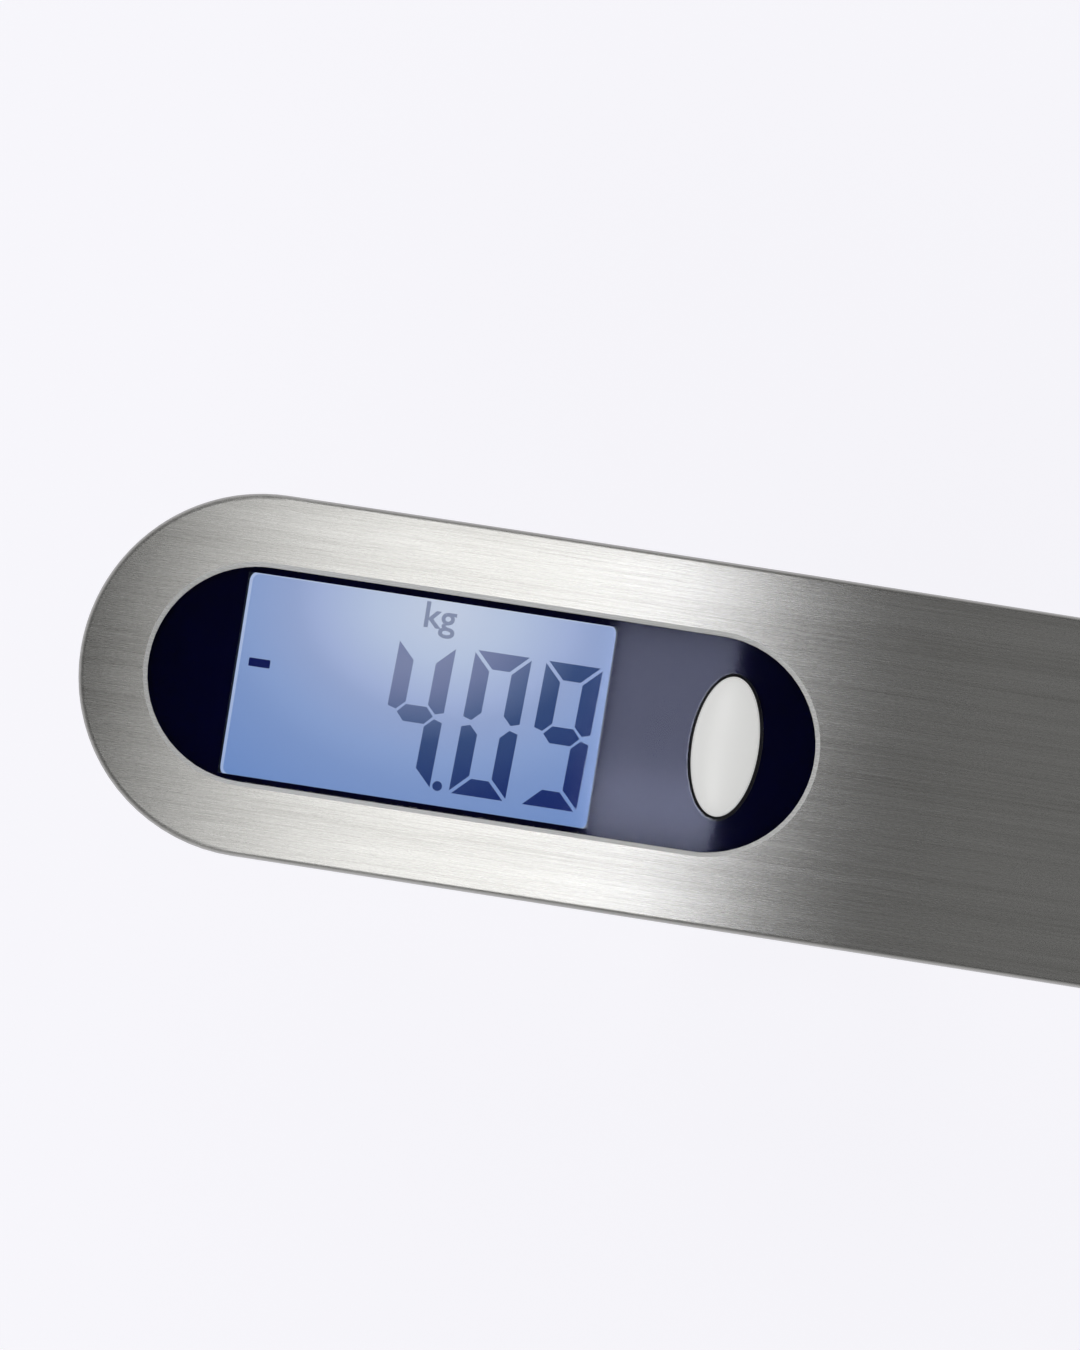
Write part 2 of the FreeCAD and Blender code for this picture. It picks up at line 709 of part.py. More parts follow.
def zebra_strips():
    top = -LCD_TOP - LCD_THICKNESS - FILM
    strip = block(-ZEBRA_LENGTH / 2, ZEBRA_LENGTH / 2, ZEBRA_Y - ZEBRA_WIDTH / 2, ZEBRA_Y + ZEBRA_WIDTH / 2,
                  -BOARD_TOP + FILM, top)
    return in_module(Part.makeCompound([strip, mirrored_y(strip)]))


def circuit_board():
    half = BOARD_WIDTH / 2
    board = rounded_block(BOARD_LEFT, BOARD_RIGHT, -half, half, -BOARD_UNDER, -BOARD_TOP, 1.5)
    for side in (1, -1):
        y = side * BOARD_SCREW_Y
        board = board.cut(upright(BOARD_SCREW_U, y, BOARD_SCREW_RADIUS + SCREW_PLAY, -FAR, 0))
    return in_module(board)


def board_screws():
    head_radius = 1.8
    head_height = 1.2
    screws = []
    for side in (1, -1):
        x = BOARD_SCREW_U
        y = side * BOARD_SCREW_Y
        head = upright(x, y, head_radius, -BOARD_UNDER - head_height, -BOARD_UNDER - FILM)
        tip = -BOARD_TOP + BOARD_POST_DEPTH - SCREW_PLAY
        shank = upright(x, y, BOARD_SCREW_RADIUS, -BOARD_UNDER - head_height / 2, tip)
        cross = cross_recess(x, y, -BOARD_UNDER - head_height, head_radius, head_height / 2)
        screws.append(head.fuse(shank).removeSplitter().cut(cross))
    return in_module(Part.makeCompound(screws))


def under_board(u, v, length, width, height):
    top = -BOARD_UNDER - FILM
    return block(u - length / 2, u + length / 2, v - width / 2, v + width / 2, top - height, top)


def controller_chip():
    return in_module(under_board(0.0, 0.0, CONTROLLER_SIZE, CONTROLLER_SIZE, CONTROLLER_HEIGHT))


def amplifier_chip():
    chip = under_board(AMPLIFIER_U, AMPLIFIER_Y, AMPLIFIER_LENGTH, AMPLIFIER_WIDTH, AMPLIFIER_HEIGHT)
    return in_module(chip)


def board_components():
    # a grid of small resistors and capacitors, and three larger capacitors beside the controller
    parts = []
    for column in range(4):
        for row in range(5):
            parts.append(under_board(-18.2 + column * 2.6, -8.0 + row * 4.0, 1.6, 0.8, 0.6))
    for row in range(3):
        parts.append(under_board(9.0, -6.0 + row * 5.0, 2.0, 1.2, 0.7))
    return in_module(Part.makeCompound(parts))


def crystal_can():
    can = obround(-1.2, 1.2, CRYSTAL_RADIUS, -BOARD_UNDER - CRYSTAL_HEIGHT, -BOARD_UNDER - FILM)
    return in_module(can.translated(V(0, CRYSTAL_Y, 0)))


def buzzer_disc():
    return in_module(upright(BUZZER_U, 0, BUZZER_RADIUS, -BOARD_UNDER - BUZZER_HEIGHT, -BOARD_UNDER - FILM))


# ---------------------------------------------------------------- button and switch
def button_seat():
    return arch_height(BUTTON_X, DECK_BOTTOM) - BUTTON_GAP


def plunger_top():
    return SWITCH_HEIGHT + PLUNGER_RISE


def power_button():
    rim_z = arch_height(BUTTON_X, LENS_RECESS) - 2 * HAIR
    column = ellipse_prism(BUTTON_X, BUTTON_HALF_X, BUTTON_HALF_Y, button_seat() - HAIR, rim_z)
    scale = FreeCAD.Matrix()
    scale.scale(V(BUTTON_HALF_X, BUTTON_HALF_Y, BUTTON_DOME))
    half_ball = Part.makeSphere(1.0, V(0, 0, 0), Z_DIR, 0, 90, 360)
    dome = half_ball.transformGeometry(scale).translated(V(BUTTON_X, 0, rim_z))
    flange = ellipse_prism(BUTTON_X, BUTTON_HALF_X + BUTTON_FLANGE, BUTTON_HALF_Y + BUTTON_FLANGE,
                           button_seat() - BUTTON_FLANGE_THICKNESS, button_seat())
    foot_z = switch_top_height() + BUTTON_POST_GAP
    post = upright(BUTTON_X, 0, BUTTON_POST_RADIUS, foot_z, button_seat() - HAIR)
    return column.multiFuse([dome, flange, post]).removeSplitter()


def switch_u():
    tilt = math.radians(MODULE_TILT)
    return (BUTTON_X - VIEW_X - BOARD_TOP * math.sin(tilt)) / math.cos(tilt)


def switch_top_height():
    tilt = math.radians(MODULE_TILT)
    depth = BOARD_TOP - plunger_top()
    return arch_height(VIEW_X) + switch_u() * math.sin(tilt) - depth * math.cos(tilt)


def tact_switch_body():
    u = switch_u()
    body = block(u - SWITCH_WIDTH / 2, u + SWITCH_WIDTH / 2, -SWITCH_LENGTH / 2, SWITCH_LENGTH / 2,
                 -BOARD_TOP + FILM, -BOARD_TOP + SWITCH_HEIGHT)
    well = upright(u, 0, PLUNGER_RADIUS + PLUNGER_PLAY, -BOARD_TOP + PLUNGER_FOOT / 2, 0)
    return in_module(body.cut(well))


def tact_switch_plunger():
    u = switch_u()
    stem = upright(u, 0, PLUNGER_RADIUS, -BOARD_TOP + PLUNGER_FOOT, -BOARD_TOP + plunger_top())
    return in_module(stem)


# ---------------------------------------------------------------- load path
def load_beam():
    half = BEAM_LENGTH / 2
    beam = block(-half, half, -BEAM_WIDTH / 2, BEAM_WIDTH / 2, BEAM_BOTTOM, BEAM_TOP)
    side = BEAM_PAD_HALF
    pad = block(-side, side, -side, side, STIRRUP_WEB_TOP + FILM, BEAM_BOTTOM)
    beam = beam.fuse(pad).removeSplitter()
    for side in (1, -1):
        x = side * GAUGE_X
        waist = block(x - WAIST_HALF, x + WAIST_HALF, -FAR, FAR,
                      BEAM_BOTTOM - HAIR, BEAM_BOTTOM + WAIST_DEPTH)
        notch = upright(x, BEAM_NOTCH_Y, BEAM_NOTCH_RADIUS, -FAR, FAR)
        beam = beam.cut(waist).cut(notch).cut(mirrored_y(notch))
        beam = beam.cut(upright(side * BEAM_SCREW_X, 0, BEAM_HOLE_RADIUS, -FAR, FAR))
    return beam.cut(upright(0, 0, BOLT_RADIUS + SCREW_PLAY, -FAR, FAR))


def strain_gauges():
    half = GAUGE_LENGTH / 2
    half_width = GAUGE_WIDTH / 2
    top = BEAM_TOP + GAUGE_THICKNESS
    gauges = [block(x - half, x + half, -half_width, half_width, BEAM_TOP + FILM, top)
              for x in (GAUGE_X, -GAUGE_X)]
    return Part.makeCompound(gauges)


def gauge_sealant():
    low = BEAM_TOP + GAUGE_THICKNESS + FILM
    high = BEAM_TOP + SEALANT_HEIGHT
    blobs = []
    for x in (GAUGE_X, -GAUGE_X):
        blob = rounded_block(x - SEALANT_HALF_X, x + SEALANT_HALF_X, -SEALANT_HALF_Y, SEALANT_HALF_Y,
                             low, high, SEALANT_CORNER)
        crown = [e for e in blob.Edges if abs(e.CenterOfMass.z - high) < 1e-6]
        blobs.append(blob.makeFillet(SEALANT_HEIGHT / 2, crown))
    return Part.makeCompound(blobs)


def beam_spacers():
    half_width = BEAM_WIDTH / 2
    spacers = []
    for x in (BEAM_SCREW_X, -BEAM_SCREW_X):
        spacer = block(x - SPACER_HALF, x + SPACER_HALF, -half_width, half_width,
                       CHASSIS_TOP + FILM, BEAM_BOTTOM - FILM)
        spacers.append(spacer.cut(upright(x, 0, BEAM_HOLE_RADIUS, -FAR, FAR)))
    return Part.makeCompound(spacers)


def cross_recess(x, y, z, span, depth):
    # cross-head recess, cut into a screw head from its outer end at height z
    half = CROSS_WIDTH / 2
    bar = block(x - span / 2, x + span / 2, y - half, y + half, z - 1, z + depth)
    other = block(x - half, x + half, y - span / 2, y + span / 2, z - 1, z + depth)
    return bar.fuse(other)


def cap_screw(x, y, head_radius, seat, head_height, shank_radius, foot):
    # a screw with its head above the seat and a plain round socket in it
    head = upright(x, y, head_radius, seat + FILM, seat + head_height)
    shank = upright(x, y, shank_radius, foot, seat + head_height / 2)
    socket = upright(x, y, 0.4 * head_radius, seat + head_height / 2, seat + 2 * head_height)
    return head.fuse(shank).removeSplitter().cut(socket)


def beam_screws():
    screws = [cap_screw(x, 0, BEAM_SCREW_HEAD, BEAM_TOP, 1.5, BEAM_SCREW_RADIUS, BEAM_SCREW_FOOT)
              for x in (BEAM_SCREW_X, -BEAM_SCREW_X)]
    return Part.makeCompound(screws)


def steel_chassis():
    half = CHASSIS_LENGTH / 2
    half_width = CHASSIS_WIDTH / 2
    slot_half = CHASSIS_SLOT_LENGTH / 2
    plate = rounded_block(-half, half, -half_width, half_width,
                          CHASSIS_BOTTOM + FILM, CHASSIS_TOP, CHASSIS_CORNER)
    plate = plate.cut(rounded_block(-slot_half, slot_half, -SLOT_WIDTH / 2, SLOT_WIDTH / 2,
                                    -FAR, FAR, CHASSIS_SLOT_CORNER))
    for side in (1, -1):
        plate = plate.cut(upright(side * BEAM_SCREW_X, 0, BEAM_HOLE_RADIUS, -FAR, FAR))
        inner_screw = upright(CASE_SCREW_X, side * CASE_SCREW_Y, SCREW_SHANK_RADIUS + SCREW_PLAY, -FAR, FAR)
        plate = plate.cut(inner_screw)
    for x, y in CHASSIS_SCREWS:
        plate = plate.cut(upright(x, y, CHASSIS_SCREW_RADIUS + SCREW_PLAY, -FAR, FAR))
    return plate


def chassis_screws():
    screws = [cap_screw(x, y, CHASSIS_SCREW_HEAD, CHASSIS_TOP, 1.2, CHASSIS_SCREW_RADIUS, CHASSIS_SCREW_FOOT)
              for x, y in CHASSIS_SCREWS]
    return Part.makeCompound(screws)


def pull_stirrup():
    half_width = STIRRUP_WIDTH / 2
    inner = STIRRUP_HALF - STIRRUP_THICKNESS
    web = block(-STIRRUP_HALF, STIRRUP_HALF, -half_width, half_width,
                STIRRUP_WEB_TOP - STIRRUP_THICKNESS, STIRRUP_WEB_TOP)
    legs = [
        block(inner, STIRRUP_HALF, -half_width, half_width, STIRRUP_FOOT_Z, STIRRUP_WEB_TOP),
        block(-STIRRUP_HALF, -inner, -half_width, half_width, STIRRUP_FOOT_Z, STIRRUP_WEB_TOP),
    ]
    stirrup = fuse_all([web] + legs)
    stirrup = stirrup.makeFillet(STIRRUP_FOOT_ROUND, [e for e in stirrup.Edges if is_stirrup_foot(e)])
    stirrup = stirrup.makeFillet(STIRRUP_BEND_ROUND, [e for e in stirrup.Edges if is_stirrup_bend(e)])
    rod_hole = cylinder(V(-FAR, 0, ROD_Z), X_DIR, ROD_RADIUS + FILM, 2 * FAR)
    return stirrup.cut(rod_hole).cut(upright(0, 0, BOLT_RADIUS + HAIR, -FAR, FAR))


def is_stirrup_foot(edge):
    middle = edge.CenterOfMass
    along_x = abs(abs(edge.tangentAt(edge.FirstParameter).x) - 1) < 1e-6
    return along_x and abs(middle.z - STIRRUP_FOOT_Z) < 1e-6


def is_stirrup_bend(edge):
    middle = edge.CenterOfMass
    return abs(middle.y) < 1e-6 and abs(abs(middle.x) - STIRRUP_HALF) < 1e-6 and middle.z > ROD_Z


def stirrup_bolt():
    foot = STIRRUP_WEB_TOP - STIRRUP_THICKNESS + 2 * HAIR
    return cap_screw(0, 0, BOLT_HEAD, BEAM_TOP, 1.9, BOLT_RADIUS, foot)


def is_rod_rim(edge):
    return edge.Closed and abs(abs(edge.CenterOfMass.x) - ROD_HALF) < 1e-6


def strap_rod():
    rod = cylinder(V(-ROD_HALF, 0, ROD_Z), X_DIR, ROD_RADIUS, 2 * ROD_HALF)
    return rod.makeChamfer(ROD_CHAMFER, [e for e in rod.Edges if is_rod_rim(e)])


def gauge_leads():
    # four fine wires from the sealed gauges up to the underside of the board
    start_x = -GAUGE_X - SEALANT_HALF_X - HAIR
    wire_z = BEAM_TOP + SEALANT_HEIGHT / 2
    end_z = board_underside(GAUGE_WIRE_X) - FILM
    leads = []
    for index in range(4):
        y = (index - 1.5) * GAUGE_WIRE_PITCH
        points = [V(start_x, y, wire_z), V(GAUGE_WIRE_X, y, wire_z), V(GAUGE_WIRE_X, y, end_z)]
        leads.append(round_bar(rounded_path(points, [0.9 * (end_z - wire_z)]), GAUGE_WIRE_RADIUS))
    return Part.makeCompound(leads)


def board_underside(x):
    tilt = math.radians(MODULE_TILT)
    u = (x - VIEW_X - BOARD_UNDER * math.sin(tilt)) / math.cos(tilt)
    return arch_height(VIEW_X) + u * math.sin(tilt) - BOARD_UNDER * math.cos(tilt)


# ---------------------------------------------------------------- battery bay pieces
def coin_cell():
    can = upright(CELL_X, 0, CELL_RADIUS, CELL_BOTTOM, CELL_BOTTOM + CELL_THICKNESS - CELL_STEP)
    cap = upright(CELL_X, 0, CELL_RADIUS - CELL_RIM, CELL_BOTTOM, CELL_BOTTOM + CELL_THICKNESS)
    return can.fuse(cap).removeSplitter()


def contact_tail(x, foot_z):
    half = CONTACT_WIDTH / 2
    return block(x, x + CONTACT_SHEET, -half, half, foot_z, CONTACT_TOP)


def battery_contact_plus():
    # a blade beside the cell, passing up through the bay's ceiling
    return contact_tail(PLUS_X, CELL_BOTTOM + CONTACT_SHEET)


def battery_contact_minus():
    # a leaf above the cell with the same kind of tail
    half = CONTACT_WIDTH / 2
    top = CUP_CEILING - FILM
    leaf = block(MINUS_X, MINUS_X + MINUS_REACH, -half, half, top - CONTACT_SHEET, top)
    return leaf.fuse(contact_tail(MINUS_X, top - CONTACT_SHEET)).removeSplitter()


def battery_leads():
    # from the contacts' tails, up over the load beam and along to the end of the board
    top = CONTACT_TOP + FILM
    board_x = VIEW_X + BOARD_RIGHT + 0.8
    board_z = board_underside(board_x) + BOARD_THICKNESS / 2
    plus = [V(PLUS_X + CONTACT_SHEET / 2, 0.9, top), V(37.6, 1.0, 0.6), V(34.2, 1.5, 4.4),
            V(27.5, 2.2, 5.5), V(15.5, 2.7, 5.9), V(4.5, 2.2, 5.4), V(board_x, 1.6, board_z)]
    minus = [V(MINUS_X + CONTACT_SHEET / 2, -0.9, top), V(43.3, -1.1, 0.4), V(39.6, -1.7, 4.2),
             V(32.5, -2.6, 5.3), V(19.5, -3.0, 5.6), V(6.5, -2.4, 5.5), V(board_x, -1.8, board_z)]
    return Part.makeCompound([lead(plus, LEAD_RADIUS), lead(minus, LEAD_RADIUS)])


def battery_door():
    # ribs for the thumb are cut beside the free edge, each shorter than the one before
    panel = block(DOOR_LEFT, DOOR_AXIS_X, -DOOR_HALF_WIDTH, DOOR_HALF_WIDTH, BASE_Z, BASE_Z + DOOR_THICKNESS)
    knuckle = across_y(DOOR_AXIS_X, DOOR_AXIS_Z, DOOR_THICKNESS / 2, DOOR_HALF_WIDTH)
    pin = across_y(DOOR_AXIS_X, DOOR_AXIS_Z, DOOR_PIN_RADIUS, DOOR_HALF_WIDTH + DOOR_PIN_REACH)
    door = fuse_all([panel, knuckle, pin])
    for index in range(DOOR_RIBS):
        x = DOOR_LEFT + DOOR_RIB_PITCH * (index + 1)
        half = DOOR_RIB_HALF - DOOR_RIB_STEP * index
        groove = rounded_block(x, x + DOOR_RIB_WIDTH, -half, half, BASE_Z - 1, BASE_Z + DOOR_RIB_DEPTH, 0.3)
        door = door.cut(groove)
    return door


# ---------------------------------------------------------------- grip pad
def grip_block(growth, z0, z1):
    half = GRIP_HALF_WIDTH + growth
    return rounded_block(GRIP_LEFT - growth, GRIP_RIGHT + growth, -half, half, z0, z1, GRIP_CORNER + growth)


def grip_pad_room():
    return grip_block(HAIR, BASE_Z - 1, BASE_Z + GRIP_DEPTH)


def grip_pad():
    pad = grip_block(0.0, BASE_Z - GRIP_PROUD, BASE_Z + GRIP_DEPTH - FILM)
    pitch = (GRIP_RIGHT - GRIP_LEFT) / (GRIP_GROOVES + 1)
    half = GRIP_GROOVE_WIDTH / 2
    for index in range(GRIP_GROOVES):
        x = GRIP_LEFT + pitch * (index + 1)
        pad = pad.cut(block(x - half, x + half, -FAR, FAR, BASE_Z - 1, BASE_Z))
    return pad


# ---------------------------------------------------------------- case screws
def case_screws():
    screws = []
    for x, y in CASE_SCREWS:
        foot = screw_head_z(x)
        seat = screw_seat(x)
        head = upright(x, y, SCREW_HEAD_RADIUS, foot, seat - FILM)
        shank = upright(x, y, SCREW_SHANK_RADIUS, foot + 0.7 * SCREW_HEAD_HEIGHT, seat + SCREW_LENGTH)
        cross = cross_recess(x, y, foot, 1.1 * SCREW_HEAD_RADIUS, 0.6 * SCREW_HEAD_HEIGHT)
        screws.append(head.fuse(shank).removeSplitter().cut(cross))
    return Part.makeCompound(screws)


# ---------------------------------------------------------------- strap
def strap_outline():
    # two plies face to face, opening at each end into an eye with a flared throat
    half = STRAP_THICKNESS / 2
    ply_circle = ROD_RADIUS + STRAP_EYE_GAP + half
    throat_y = half + STRAP_FLARE
    throat_z = math.sqrt((ply_circle + STRAP_FLARE) ** 2 - throat_y ** 2)
    meet = V(0, throat_y, -throat_z).normalize()
    turn = (V(0, -1, 0) - meet).normalize()
    crown = V(0, 0, ply_circle + half)
    leave = meet * (ply_circle + half)
    bend = V(0, throat_y, -throat_z) + turn * (STRAP_FLARE - half)
    flat = V(0, STRAP_THICKNESS, -throat_z)

    def upper(point, side=1):
        return V(-STRAP_WIDTH / 2, side * point.y, ROD_Z + point.z)

    def lower(point, side=1):
        return V(-STRAP_WIDTH / 2, side * point.y, EYE_BAR_Z - point.z)

    return Part.Wire([
        Part.Arc(upper(leave, -1), upper(crown), upper(leave)).toShape(),
        Part.Arc(upper(leave), upper(bend), upper(flat)).toShape(),
        Part.makeLine(upper(flat), lower(flat)),
        Part.Arc(lower(flat), lower(bend), lower(leave)).toShape(),
        Part.Arc(lower(leave), lower(crown), lower(leave, -1)).toShape(),
        Part.Arc(lower(leave, -1), lower(bend, -1), lower(flat, -1)).toShape(),
        Part.makeLine(lower(flat, -1), upper(flat, -1)),
        Part.Arc(upper(flat, -1), upper(bend, -1), upper(leave, -1)).toShape(),
    ])


def webbing_strap():
    strap = prism(strap_outline(), V(STRAP_WIDTH, 0, 0))
    bore = ROD_RADIUS + STRAP_EYE_GAP
    slope = math.asin(bore / STRAP_THROAT)
    for z, toward in ((ROD_Z, -1), (EYE_BAR_Z, 1)):
        touch_y = bore * math.cos(slope)
        touch_z = z + toward * bore * math.sin(slope)
        tip = V(-FAR, 0, z + toward * STRAP_THROAT)
        corners = [V(-FAR, touch_y, touch_z), tip, V(-FAR, -touch_y, touch_z)]
        wedge = prism(Part.makePolygon(corners + corners[:1]), V(2 * FAR, 0, 0))
        strap = strap.cut(cylinder(V(-FAR, 0, z), X_DIR, bore, 2 * FAR)).cut(wedge)
    return strap


# ---------------------------------------------------------------- swivel eye and snap hook
def is_round_rim(edge):
    return len(edge.Vertexes) == 1


def swivel_eye():
    # a closed loop of round bar; the sweep starts in the middle of the top bar
    corners = [V(0, 0, EYE_BAR_Z), V(EYE_HALF, 0, EYE_BAR_Z), V(EYE_HALF, 0, EYE_FOOT_Z),
               V(-EYE_HALF, 0, EYE_FOOT_Z), V(-EYE_HALF, 0, EYE_BAR_Z), V(0, 0, EYE_BAR_Z)]
    loop = round_bar(rounded_path(corners, [EYE_CORNER] * 4), EYE_BAR_RADIUS)
    boss = upright(0, 0, BOSS_RADIUS, BOSS_BOTTOM, BOSS_TOP)
    boss = boss.makeFillet(RIM_ROUND, [e for e in boss.Edges if is_round_rim(e)])
    hole = upright(0, 0, POST_PIN_RADIUS + HAIR, BOSS_BOTTOM - 1, BOSS_TOP + 1)
    return loop.fuse(boss).removeSplitter().cut(hole)


def gate_pivot():
    return V(GATE_PIVOT_X, 0, GATE_PIVOT_Z)


def gate_barrel(radius, y0, y1):
    return cylinder(V(GATE_PIVOT_X, y0, GATE_PIVOT_Z), Y_DIR, radius, y1 - y0)


def hook_bow():
    corners = [V(0, 0, COLLAR_BOTTOM + 2), V(0, 0, COLLAR_BOTTOM - 4),
               V(-HOOK_HALF, 0, COLLAR_BOTTOM - 9), V(-HOOK_HALF, 0, HOOK_BOTTOM_Z),
               V(HOOK_HALF, 0, HOOK_BOTTOM_Z), V(HOOK_HALF, 0, HOOK_NOSE_Z)]
    radii = [4.0, 5.0, HOOK_HALF, HOOK_HALF]
    bow = round_bar(rounded_path(corners, radii), HOOK_BAR_RADIUS)
    nose = Part.makeSphere(HOOK_BAR_RADIUS, V(HOOK_HALF, 0, HOOK_NOSE_Z))
    return bow.fuse(nose)


def hook_collar():
    # the collar under the eye's boss, the post through it and the riveted head on top
    collar = upright(0, 0, COLLAR_RADIUS, COLLAR_BOTTOM, BOSS_BOTTOM - SWIVEL_GAP)
    collar = collar.makeFillet(RIM_ROUND, [e for e in collar.Edges if is_round_rim(e)])
    head_top = BOSS_TOP + SWIVEL_GAP + RIVET_HEIGHT
    post = upright(0, 0, POST_PIN_RADIUS, COLLAR_BOTTOM + 1, head_top - RIVET_HEIGHT / 2)
    head = upright(0, 0, RIVET_RADIUS, BOSS_TOP + SWIVEL_GAP, head_top)
    head = head.makeFillet(RIM_ROUND, [e for e in head.Edges if abs(e.CenterOfMass.z - head_top) < 1e-6])
    return fuse_all([collar, post, head])


def snap_hook():
    shoulder = V(0, 0, COLLAR_BOTTOM - SHOULDER_DEPTH)
    root_end = V(GATE_PIVOT_X * 0.35, 0, COLLAR_BOTTOM - 2 * SHOULDER_DEPTH)
    ear = tangent_hull(shoulder, SHOULDER_RADIUS, gate_pivot(), EAR_RADIUS, EAR_INNER, EAR_OUTER)
    root = tangent_hull(shoulder, SHOULDER_RADIUS, root_end, ROOT_RADIUS, -EAR_OUTER, EAR_OUTER)
    hook = fuse_all([hook_bow(), hook_collar(), ear, mirrored_y(ear), root])
    hook = hook.cut(gate_barrel(EAR_RADIUS + BARREL_GAP, -EAR_INNER, EAR_INNER))
    return hook.cut(gate_barrel(GATE_PIN_RADIUS + FILM, -FAR, FAR))


def hook_gate():
    # a round bar hung from a barrel that fills half the gap between the ears
    tip = V(GATE_TIP_X, 0, GATE_TIP_Z)
    run = tip - gate_pivot()
    bar = cylinder(gate_pivot(), run, GATE_BAR_RADIUS, run.Length)
    ball = Part.makeSphere(GATE_BAR_RADIUS, tip)
    gate = fuse_all([bar, ball, gate_barrel(BARREL_RADIUS, -EAR_INNER + SIDE_GAP, BARREL_END_Y)])
    spring_room = gate_barrel(BARREL_RADIUS + 2 * HAIR, BARREL_END_Y, 2 * EAR_OUTER)
    return gate.cut(spring_room).cut(gate_barrel(GATE_PIN_RADIUS + PIN_GAP, -FAR, FAR))


def gate_pin():
    half = EAR_OUTER + RIM_ROUND / 2
    pin = gate_barrel(GATE_PIN_RADIUS, -half, half)
    return pin.makeFillet(GATE_PIN_ROUND, [e for e in pin.Edges if is_round_rim(e)])


def gate_spring():
    # close-wound coil beside the barrel, drawn as the sleeve that its turns fill
    y0 = BARREL_END_Y + SIDE_GAP
    y1 = EAR_INNER - SIDE_GAP
    coil = gate_barrel(SPRING_RADIUS, y0, y1)
    for index in range(SPRING_TURNS - 1):
        y = y0 + (y1 - y0) * (index + 1) / SPRING_TURNS
        groove = gate_barrel(FAR, y - SPRING_GROOVE / 2, y + SPRING_GROOVE / 2)
        coil = coil.cut(groove.cut(gate_barrel(SPRING_RADIUS - SPRING_GROOVE, -FAR, FAR)))
    return coil.cut(gate_barrel(SPRING_RADIUS - SPRING_WIRE, -FAR, FAR))


NODES = {
    "top_plate": top_plate,
    "plate_tape": plate_tape,
    "upper_case": upper_case,
    "rear_cover": rear_cover,
    "display_lens": display_lens,
    "lens_mask": lens_mask,
    "lcd_panel": lcd_panel,
    "lcd_frame": lcd_frame,
    "backlight_panel": backlight_panel,
    "backlight_led": backlight_led,
    "zebra_strips": zebra_strips,
    "power_button": power_button,
    "tact_switch_body": tact_switch_body,
    "tact_switch_plunger": tact_switch_plunger,
    "circuit_board": circuit_board,
    "board_screws": board_screws,
    "controller_chip": controller_chip,
    "amplifier_chip": amplifier_chip,
    "board_components": board_components,
    "crystal_can": crystal_can,
    "buzzer_disc": buzzer_disc,
    "load_beam": load_beam,
    "strain_gauges": strain_gauges,
    "gauge_sealant": gauge_sealant,
    "gauge_leads": gauge_leads,
    "beam_spacers": beam_spacers,
    "beam_screws": beam_screws,
    "steel_chassis": steel_chassis,
    "chassis_screws": chassis_screws,
    "pull_stirrup": pull_stirrup,
    "stirrup_bolt": stirrup_bolt,
    "strap_rod": strap_rod,
    "webbing_strap": webbing_strap,
    "swivel_eye": swivel_eye,
    "snap_hook": snap_hook,
    "hook_gate": hook_gate,
    "gate_pin": gate_pin,
    "gate_spring": gate_spring,
    "case_screws": case_screws,
    "battery_door": battery_door,
    "coin_cell": coin_cell,
    "battery_contact_plus": battery_contact_plus,
    "battery_contact_minus": battery_contact_minus,
    "battery_leads": battery_leads,
    "grip_pad": grip_pad,
}


def main():
    os.makedirs("parts", exist_ok=True)
    for node, build in NODES.items():
        shape = build()
        solids = len(shape.Solids)
        valid = shape.isValid()
        print(f"{node}: solids {solids}, volume {shape.Volume:.1f} mm3, valid {valid}")
        shape.exportStep(f"parts/{node}.step")


main()
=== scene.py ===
import math

import bmesh
import bpy
from mathutils import Euler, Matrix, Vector


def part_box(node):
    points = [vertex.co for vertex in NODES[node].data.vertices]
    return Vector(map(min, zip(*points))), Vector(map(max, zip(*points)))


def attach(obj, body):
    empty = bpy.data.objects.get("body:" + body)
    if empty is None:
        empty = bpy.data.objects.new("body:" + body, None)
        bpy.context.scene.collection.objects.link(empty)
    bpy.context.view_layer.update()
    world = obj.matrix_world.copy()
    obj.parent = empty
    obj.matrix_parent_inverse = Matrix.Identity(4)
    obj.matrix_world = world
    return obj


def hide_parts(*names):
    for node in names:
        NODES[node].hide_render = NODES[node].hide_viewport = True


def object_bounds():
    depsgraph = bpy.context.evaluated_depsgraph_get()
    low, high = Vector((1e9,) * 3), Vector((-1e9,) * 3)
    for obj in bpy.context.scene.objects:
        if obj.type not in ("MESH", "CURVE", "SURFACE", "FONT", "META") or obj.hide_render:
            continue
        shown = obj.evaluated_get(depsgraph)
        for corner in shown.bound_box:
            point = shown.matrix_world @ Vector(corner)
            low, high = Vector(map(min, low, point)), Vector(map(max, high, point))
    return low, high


# Looks for the digital luggage scale. Lengths are in metres.
MM = 0.001
TURN = 2 * math.pi
ARCH_CENTRE_Z = -507.5 * MM    # centre of the face's arch
RIM_REACH = 1.0 * MM           # how far the cut edge's painted highlight reaches outside the lens
BUTTON_CAP = 1.35 * MM         # height of the button's pearl cap above its skirt; below it the button is painted black as shade in the gap
MASK_BOND = 0.05 * MM          # how far the printed mask reaches into the lens

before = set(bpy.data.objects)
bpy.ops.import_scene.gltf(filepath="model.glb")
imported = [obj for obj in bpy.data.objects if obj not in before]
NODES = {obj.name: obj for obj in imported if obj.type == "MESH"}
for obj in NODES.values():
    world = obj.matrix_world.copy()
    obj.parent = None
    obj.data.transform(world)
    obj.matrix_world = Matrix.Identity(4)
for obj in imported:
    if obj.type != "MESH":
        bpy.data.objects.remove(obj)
CAD_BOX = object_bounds()


